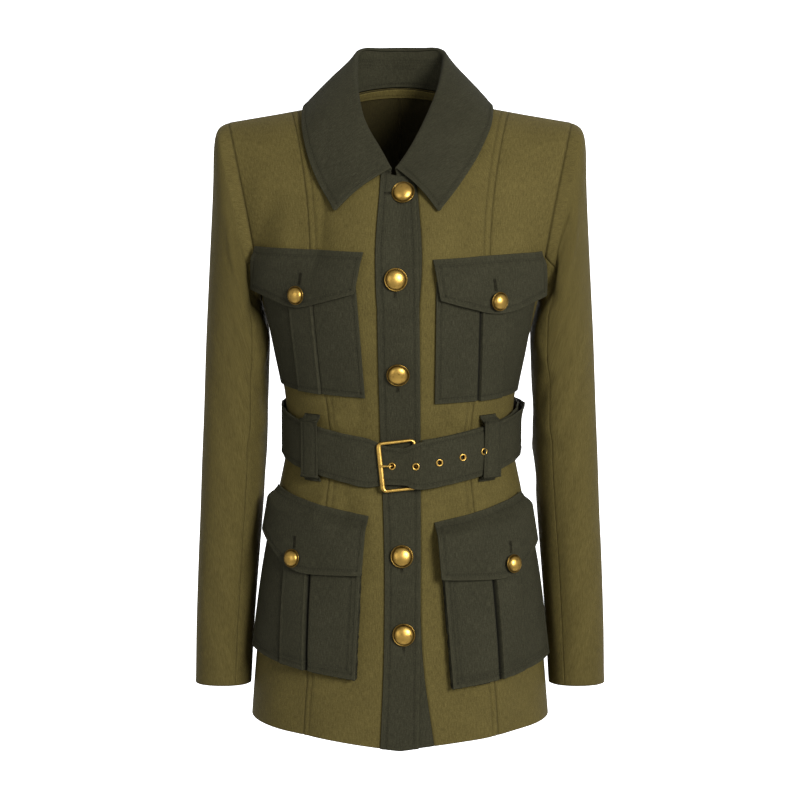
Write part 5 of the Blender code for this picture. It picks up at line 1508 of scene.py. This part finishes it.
def make_pockets():
    kinds = (
        ("chest", CHEST_FLAPS, CHEST_BAGS, CHEST_FLARE),
        ("lower", LOWER_FLAPS, LOWER_BAGS, LOWER_FLARE),
    )
    for word, _ in HALVES:
        for kind, flaps, bags, flare in kinds:
            flap, bag = flaps[word], bags[word]

            def lift_of(shares, falls):
                depth = CHEST_BAG_LIFT + TRIM_CLOTH
                if kind == "lower":
                    on_bag = np.clip((flap.inner + flap.width * shares - bag.inner) / bag.width, 0.0, 1.0)
                    depth = lower_depth(on_bag, FLAP_BAG_SHARE * falls) + LOWER_SAG * FLAP_SAG_SHARE
                return flap_lift(shares, falls, depth + PLEAT_RAISE, flare)

            def face_lift(fall, wave):
                """Lift of the flap's outer face on the line down through its point."""
                return lift_of(flap.point, fall) + TRIM_CLOTH + wave

            def on_line(fall, lift):
                return flap_points(flap, flap.height, flap.point, fall, lift)

            make_bag(kind, word, bag)
            make_flap("%s_flap_%s" % (kind, word), flap, lift_of, len(kind + word) * FLAP_PHASE_STEP)
            fall = 1.0 - FLAP_BUTTON_UP / flap.height
            lift = face_lift(fall, FLAP_WAVE)
            seat = on_line(fall, lift)
            axis = on_line(fall, lift + AXIS_STEP) - seat
            make_button("%s_button_%s" % (kind, word), seat, axis, POCKET_BUTTON_RADIUS)
            gap, length = FLAP_SLOT
            fall -= gap / flap.height
            lift = face_lift(fall, FLAP_WAVE * SLOT_WAVE_SHARE)
            middle = on_line(fall, lift)
            way = unit(on_line(fall - SLOT_STEP, lift) - middle)
            make_buttonhole(middle, way, unit(on_line(fall, lift + AXIS_STEP) - middle), length)


# Stitches


def make_buttonhole(middle, way, out, length):
    """Two rows of close stitches along a slit."""
    across = np.cross(out, way)
    for sign in (-1.0, 1.0):
        for place in np.linspace(-0.5, 0.5, int(length / SLOT_PITCH)) * length:
            start = middle + way * place + across * sign * SLOT_HALF_GAP + out * SLOT_LIFT
            end = start + across * sign * SLOT_STITCH
            STITCH_ROWS["buttonholes"].append((np.stack([start, end]), np.stack([out, out])))


def stitch_ends(points, outs):
    """Both ends of each stitch along a line, and the way out of the cloth at its middle."""
    steps = travelled(points)
    count = int(steps[-1] / STITCH_PITCH)
    middles = (np.arange(count) + 0.5) * steps[-1] / max(count, 1)
    ends = [between(middles + shift * STITCH_LENGTH, steps, points) for shift in (-0.5, 0.5)]
    return np.stack(ends, axis=1), unit(between(middles, steps, outs))


def tube_faces(low, high):
    """Faces between each ring of points in low and the ring in high that follows it."""
    corners = (low, np.roll(low, -1, axis=-1), np.roll(high, -1, axis=-1), high)
    return np.stack(corners, axis=-1).reshape(-1, 4).tolist()


def sew(kind):
    """All stitches of one thread as one mesh of short bowed yarns; each row of a buttonhole is one stitch."""
    if kind == "buttonholes":
        pairs = [(points[None], outs[:1]) for points, outs in STITCH_ROWS[kind]]
    else:
        pairs = [stitch_ends(points, outs) for points, outs in STITCH_ROWS[kind] if len(points) > 1]
    ends, normals = (np.concatenate(part) for part in zip(*pairs))
    run = ends[:, 1] - ends[:, 0]
    across = unit(np.cross(normals, run)) * THREAD_RADIUS
    out = unit(np.cross(run, across)) * THREAD_RADIUS
    rings = []
    for place, size, lift in THREAD_RINGS:
        centre = ends.mean(axis=1) + run * place + out * (lift + THREAD_LIFT)
        rings.append(centre[:, None] + circle(THREAD_SIDES, across, out) * size)
    points = np.stack(rings, axis=1)
    index = np.arange(points[..., 0].size).reshape(points.shape[:3])
    caps = np.stack([index[:, 0, ::-1], index[:, -1]], axis=1).reshape(-1, THREAD_SIDES).tolist()
    faces = tube_faces(index[:, :-1], index[:, 1:]) + caps
    new_piece("stitches_" + kind, points.reshape(-1, 3), faces, *THREADS[kind])


# Metal


def metal_rings(node, rings, turn=None, shade=None):
    """Metal piece from rings of points; a turn joins the last ring to the first, that many points on."""
    index = np.arange(rings[..., 0].size).reshape(rings.shape[:2])
    if turn is None:
        faces = tube_faces(index[:-1], index[1:]) + [index[0, ::-1].tolist(), index[-1].tolist()]
    else:
        faces = tube_faces(index, np.concatenate([index[1:], np.roll(index[:1], turn, axis=1)]))
    new_piece("metal_" + node, rings.reshape(-1, 3), faces, "gold_finish", "gold_metal", (node,), shade)


def turned(node, outline, sides, seat, axis, turn=None, dents=0.0, shade=None):
    """Round piece from (radius, height) pairs, top first, with an optional hammered surface."""
    radius, height = np.array(outline).T
    out = unit(axis)
    side = unit(np.cross(out, TURN_REFERENCE))
    angles = np.linspace(0.0, 2 * math.pi, sides, endpoint=False)
    outness = (radius / radius.max())[:, None]
    beat = dents * np.sin(HAMMER_TURNS * angles + HAMMER_TWIST * outness) * np.sin(HAMMER_WAVES * outness)
    rings = seat + out * (height[:, None] + beat)[..., None]
    rings = rings + radius[:, None, None] * circle(sides, side, np.cross(out, side))
    metal_rings(node, rings, turn, None if shade is None else np.repeat(shade, sides))


def make_button(node, seat, axis, radius):
    """Domed button with a low rim on a short shank, its dome lightly hammered, with painted shade darker
    towards its rim.
    """
    sines = np.sin(DOME_STEPS)
    dome = [DOME_SHARE * sines, DOME_BASE + DOME_RISE * np.cos(DOME_STEPS), 1.0 - DOME_SHADE * sines ** 5]
    rows = np.concatenate([np.stack(dome, axis=-1), BUTTON_RIM])
    outline = rows[:, :2] * np.array((radius, 1.0))
    turned(node, outline, BUTTON_SIDES, seat, axis, None, HAMMER_DEPTH, rows[:, 2])


def make_front_buttons():
    lift = PLACKET_LIFT + TRIM_CLOTH
    for number, (place, height) in enumerate(zip(FRONT_BUTTON_PLACES, FRONT_BUTTON_HEIGHTS), 1):
        seat = on_front(place, height, lift)
        axis = on_front(place, height, lift + AXIS_STEP) - seat
        make_button("front_button_%d" % number, seat, axis, FRONT_BUTTON_RADIUS)
        if number == 1:
            gap, length = NECK_SLOT
            middle, way = on_front(place - gap, height, lift), np.array((1.0, 0.0, 0.0))
        else:
            gap, length = FRONT_SLOT
            middle, way = on_front(place, height - gap, lift), np.array((0.0, 0.0, 1.0))
        make_buttonhole(middle, way, unit(axis), length)


def sweep(node, path, radii, sides, stretch=None, closed=False):
    """Round wire along a path, widened one way if stretch gives a direction and a factor at each point."""
    ways = np.roll(path, -1, axis=0) - np.roll(path, 1, axis=0) if closed else np.gradient(path, axis=0)
    ways = unit(ways)
    frames = [unit(np.cross(ways[0], SWEEP_REFERENCE))]
    for way in ways[1:]:
        frames.append(unit(frames[-1] - way * np.dot(frames[-1], way)))
    frames = np.array(frames)
    rings = circle(sides, frames, np.cross(ways, frames))
    if stretch is not None:
        direction, factors = stretch
        rings = rings + direction * ((rings @ direction) * (np.array(factors) - 1)[:, None])[..., None]
    turn = None
    if closed:
        gaps = [np.abs(np.roll(rings[0], shift, axis=0) - rings[-1]).sum() for shift in range(sides)]
        turn = int(np.argmin(gaps))
    metal_rings(node, path[:, None] + radii[:, None, None] * rings, turn)


# Belt


def belt_line(angle):
    """Height of the strap's middle at an angle round the body."""
    x_share = min(1.0, abs(math.remainder(angle, 2 * math.pi)) / (math.pi / 2))
    rise = math.sqrt(x_share ** 2 + BELT_BEND ** 2) - BELT_BEND
    return BELT_FRONT_HEIGHT + (BELT_SIDE_HEIGHT - BELT_FRONT_HEIGHT) * min(1.0, rise / (1.0 - BELT_BEND))


def belt_point(angle, across, standoff):
    """Point of the belt: angle round the body, across -1 to 1 from its lower edge, distance off the body."""
    turn = math.remainder(angle, 2 * math.pi)
    sine, cosine = math.sin(turn), math.cos(turn)
    half = BELT_HALF_HEIGHT
    if angle > math.pi and abs(turn) < math.pi / 2:
        half = value_at(BELT_PINCH, BELT_FRONT_REACH * sine)
    ends = []
    for end in (-1.0, 1.0):
        height = belt_line(angle) + end * half
        half_width, front_depth, back_depth = smooth(BODY_SECTIONS, height)[0]
        depth = front_depth if abs(turn) <= math.pi / 2 else back_depth
        reach = (abs(sine / half_width) ** ROUNDNESS + abs(cosine / depth) ** ROUNDNESS) ** (-1.0 / ROUNDNESS)
        normal = np.array((
            math.copysign(abs(sine) ** (ROUNDNESS - 1), sine) / half_width ** ROUNDNESS,
            -math.copysign(abs(cosine) ** (ROUNDNESS - 1), cosine) / depth ** ROUNDNESS,
            0.0,
        ))
        ends.append(np.array((reach * sine, -reach * cosine, height)) + unit(normal) * standoff)
    share = (np.asarray(across)[..., None] + 1.0) / 2
    return ends[0] * (1 - share) + ends[1] * share


BELT_ANGLES = np.linspace(0.0, math.pi / 2, 91)
BELT_REACH = [belt_point(angle, 0.0, BELT_INNER_STANDOFF)[0] for angle in BELT_ANGLES]


def front_angle(x):
    return math.copysign(float(np.interp(abs(x), BELT_REACH, BELT_ANGLES)), x)


def tail_standoff(x):
    return value_at(BELT_BUCKLE_RISE, x) if x < BELT_BUCKLE_RISE[-1][0] else BELT_TAIL_STANDOFF


def belt_stations():
    """Angle and stand-off of each column: inner layer first, once round, then the tail over it."""
    inner_count, rise_count, tail_count = BELT_COUNTS
    rise_start, rise_end = BELT_BUCKLE_RISE[0][0], BELT_BUCKLE_RISE[-1][0]
    start = front_angle(BELT_START_X)
    stations = []
    for angle in np.linspace(start, 2 * math.pi + front_angle(rise_start), inner_count)[:-1]:
        early = max(0.0, 1.0 - (angle - start) / BELT_START_RUN)
        stations.append((angle, BELT_INNER_STANDOFF + BELT_START_LIFT * early))
    for x in np.linspace(rise_start, rise_end, rise_count):
        stations.append((2 * math.pi + front_angle(x), tail_standoff(x)))
    for angle in np.linspace(stations[-1][0], BELT_TAIL_END, tail_count)[1:]:
        stations.append((angle, BELT_TAIL_STANDOFF))
    return stations


def front_belt_frame(x, standoff_at):
    """Place on the belt's front at x, its outward axis and its upward axis."""

    def strap(spot, across):
        return belt_point(2 * math.pi + front_angle(spot), across, standoff_at(spot))

    low, high = strap(x, np.array((-1.0, 1.0)))
    up = unit(high - low)
    out = unit(np.cross(strap(x + STRAP_STEP, 0.0) - strap(x - STRAP_STEP, 0.0), up))
    return strap(x, 0.0), out, up


def outside_normals(grid, height):
    """Normals of a strap, pointing away from the middle of the body at a height."""
    normals = grid_normals(grid)
    return normals * math.copysign(1.0, np.sum(normals * (grid - np.array((0.0, 0.0, height)))))


def make_belt():
    across = edged(2.0, *BELT_ROWS) - 1.0
    stations = belt_stations()
    grid = np.stack([belt_point(angle, across, off + BELT_CLOTH) for angle, off in stations], axis=1)
    piece = Cloth("trim", "belt", grid, outside_normals(grid, BELT_SIDE_HEIGHT), BELT_CLOTH)
    tail = np.array([angle for angle, _ in stations]) - 2 * math.pi
    height, turn, spread, start = BELT_CURL
    curl = height * np.exp(-((tail - turn) / spread) ** 2)
    piece.height += curl * (np.clip((across - start) / (1.0 - start), 0.0, 1.0) ** 2)[:, None]
    height, waves, start = BELT_WAVE
    piece.height += height * np.sin(waves * tail) * (np.abs(tail) > start) * (across ** 4)[:, None]
    for side in ("first_row", "last_row"):
        piece.wear_and_highlight(side)
        piece.topstitch(side, BELT_STITCH_INSET)
    belt = piece.build("stretched", BACKS)
    for number, x in enumerate(EYELET_PLACES, 1):
        seat, out, _ = front_belt_frame(x, tail_standoff)
        punch(belt, seat + out * (BELT_CLOTH / 2), out)
        turned("eyelet_%d" % number, EYELET_OUTLINE, EYELET_SIDES, seat + out * BELT_CLOTH, out, turn=0)


def punch(belt, middle, out):
    """Cuts one round hole through the belt."""
    builder = bmesh.new()
    turn = Vector(out).to_track_quat("Z", "Y").to_matrix().to_4x4()
    turn.translation = Vector(middle)
    bmesh.ops.create_cone(builder, cap_ends=True, segments=PUNCH_SIDES, radius1=EYELET_HOLE,
                          radius2=EYELET_HOLE, depth=PUNCH_DEPTH, matrix=turn)
    mesh = bpy.data.meshes.new("punch")
    builder.to_mesh(mesh)
    builder.free()
    cutter = bpy.data.objects.new("punch", mesh)
    bpy.context.scene.collection.objects.link(cutter)
    cut = belt.modifiers.new("hole", "BOOLEAN")
    cut.object = cutter
    cut.operation = "DIFFERENCE"
    bpy.context.view_layer.update()
    holed = bpy.data.meshes.new_from_object(belt.evaluated_get(bpy.context.evaluated_depsgraph_get()))
    belt.modifiers.clear()
    belt.data = holed
    bpy.data.objects.remove(cutter, do_unlink=True)


def make_belt_loop(word):
    place = LOOP_PLACES[word]
    side = math.copysign(1.0, place)
    over = (BELT_TAIL_STANDOFF if side > 0 else BELT_INNER_STANDOFF) + BELT_CLOTH + LOOP_SLACK
    half_width, depth = LOOP_SECTION
    centre = belt_line(math.atan2(abs(place), math.sqrt(1.0 - (place / half_width) ** 2) * depth))
    widths = edged(2.0, *LOOP_COLUMNS) - 1.0
    rows = []
    for rise, share in through(LOOP_PROFILE, LOOP_ROWS):
        line = level_line(centre + rise, True)
        middle = float(np.interp(abs(place), line[:, 0], travelled(line)))
        lift = LOOP_BASE_LIFT + (over - LOOP_BASE_LIFT) * min(max(share, 0.0), 1.0) + LOOP_CLOTH
        rows.append(on_front(side * (middle + LOOP_HALF_WIDTH * widths), centre + rise, lift))
    grid = np.stack(rows)
    piece = Cloth("trim", "belt_loop_" + word, grid, outside_normals(grid, centre), LOOP_CLOTH)
    for edge in ENDS:
        piece.topstitch(edge, LOOP_STITCH_INSET)
    piece.build("stretched", ["side_front_" + word])


def make_buckle():
    centre, out, up = front_belt_frame(BUCKLE_CENTRE_X, lambda x: 0.0)
    right = unit(np.cross(up, out))
    turn_cos, turn_sin = math.cos(BUCKLE_TILT), math.sin(BUCKLE_TILT)

    def place(across, rise, standoff):
        x = across * turn_cos - rise * turn_sin
        z = across * turn_sin + rise * turn_cos
        return centre + right * x + up * z + out * standoff

    half_width, half_height = BUCKLE_WIDTH / 2, BUCKLE_HEIGHT / 2
    path, widths = [], []
    for sign_x, sign_z, start in BUCKLE_CORNERS:
        for angle in np.radians(start + np.linspace(0.0, 90.0, BUCKLE_CORNER_STEPS)):
            across = sign_x * (half_width - BUCKLE_CORNER) + BUCKLE_CORNER * math.cos(angle)
            rise = sign_z * (half_height - BUCKLE_CORNER) + BUCKLE_CORNER * math.sin(angle)
            share = 0.5 - across / BUCKLE_WIDTH
            standoff = BUCKLE_PIVOT_STANDOFF + (BUCKLE_BAR_STANDOFF - BUCKLE_PIVOT_STANDOFF) * share
            path.append(place(across, rise, standoff))
            widened = ramp_up((share - BUCKLE_BAR_START) / BUCKLE_BAR_RUN)
            widths.append(1.0 + (BUCKLE_BAR_WIDENING - 1.0) * widened)
    stretch = (right * turn_cos + up * turn_sin, widths)
    wire = np.array(path)
    sweep("buckle_frame", wire, np.full(len(wire), BUCKLE_WIRE), BUCKLE_SIDES, stretch, closed=True)

    eyelet = EYELET_PLACES[0] - BUCKLE_CENTRE_X
    strap = tail_standoff(EYELET_PLACES[0])
    clear = BUCKLE_WIRE + PRONG_WIRE + PRONG_CLEARANCE
    turns = np.radians(np.linspace(PRONG_EYE_TURN, -PRONG_EYE_TURN, PRONG_EYE_STEPS))
    eye = clear * np.stack([np.cos(turns), np.sin(turns)], axis=-1)
    eye = eye + np.array((half_width, BUCKLE_PIVOT_STANDOFF))
    bends = [
        eye[-1],
        (eyelet + PRONG_LEAD[0], BUCKLE_PIVOT_STANDOFF - clear + PRONG_LEAD[1]),
        (eyelet + PRONG_UNDER[0], strap + PRONG_UNDER[1]),
        (eyelet, strap + BELT_CLOTH / 2),
        (eyelet + PRONG_OVER[0], strap + BELT_CLOTH + PRONG_OVER[1]),
    ]
    bends += [(rest - half_width, BUCKLE_BAR_STANDOFF + clear) for rest in PRONG_REST]
    route = np.concatenate([eye, through(bends, PRONG_STEPS)[1:]])
    wire = np.array([place(across, across * -turn_sin, standoff) for across, standoff in route])
    radii = np.full(len(wire), PRONG_WIRE)
    radii[-len(PRONG_TIP):] *= PRONG_TIP
    sweep("buckle_prong", wire, radii, PRONG_SIDES)


# Stage


def stage_sheet(name, material, edges, glow):
    """A flat pale sheet as wide as the stage, between two edges given by y and z."""
    tree = Tree(material)
    tree.finish({"Base Color": PAPER_COLOUR, "Roughness": PAPER_ROUGHNESS, **glow})
    first, last = edges
    wide = STAGE_HALF_WIDTH
    mesh = bpy.data.meshes.new(name)
    mesh.from_pydata([(-wide, *first), (wide, *first), (wide, *last), (-wide, *last)], [], [(0, 1, 2, 3)])
    mesh.materials.append(tree.material)
    item = bpy.data.objects.new(name, mesh)
    bpy.context.scene.collection.objects.link(item)


def make_stage():
    scene = bpy.context.scene
    back_edge = (BACKDROP_Y, FLOOR_HEIGHT)
    glow = {"Emission Color": WHITE, "Emission Strength": PAPER_GLOW}
    stage_sheet("backdrop", "white_paper", (back_edge, (BACKDROP_Y, BACKDROP_TOP)), glow)
    stage_sheet("floor", "pale_floor", ((FLOOR_FRONT_Y, FLOOR_HEIGHT), back_edge), {})

    scene.world = bpy.data.worlds.new("studio")
    scene.world.use_nodes = True
    sky = scene.world.node_tree.nodes["Background"]
    sky.inputs["Color"].default_value = WHITE
    sky.inputs["Strength"].default_value = SKY_STRENGTH
    for name, spot, size, power in LAMPS:
        lamp = bpy.data.lights.new(name, "AREA")
        lamp.shape = "DISK"
        lamp.size = size
        lamp.energy = power
        item = bpy.data.objects.new(name, lamp)
        item.location = spot
        item.rotation_mode = "QUATERNION"
        item.rotation_quaternion = (LAMP_AIM - Vector(spot)).to_track_quat("-Z", "Y")
        scene.collection.objects.link(item)

    camera = bpy.data.cameras.new("camera")
    camera.lens = CAMERA_LENS
    camera.sensor_width = CAMERA_SENSOR
    item = bpy.data.objects.new("camera", camera)
    item.location = (0.0, -CAMERA_DISTANCE, 0.0)
    item.rotation_euler = (math.pi / 2 - CAMERA_PITCH, 0.0, 0.0)
    scene.collection.objects.link(item)
    scene.camera = item
    scene.view_settings.view_transform = "Standard"


def main():
    make_materials()
    make_stage()
    make_body()
    make_sleeves()
    make_plackets()
    make_collar()
    make_neck_facing()
    make_pockets()
    make_front_buttons()
    make_belt()
    for word, _ in HALVES:
        make_belt_loop(word)
    make_buckle()
    for kind in THREADS:
        sew(kind)


main()
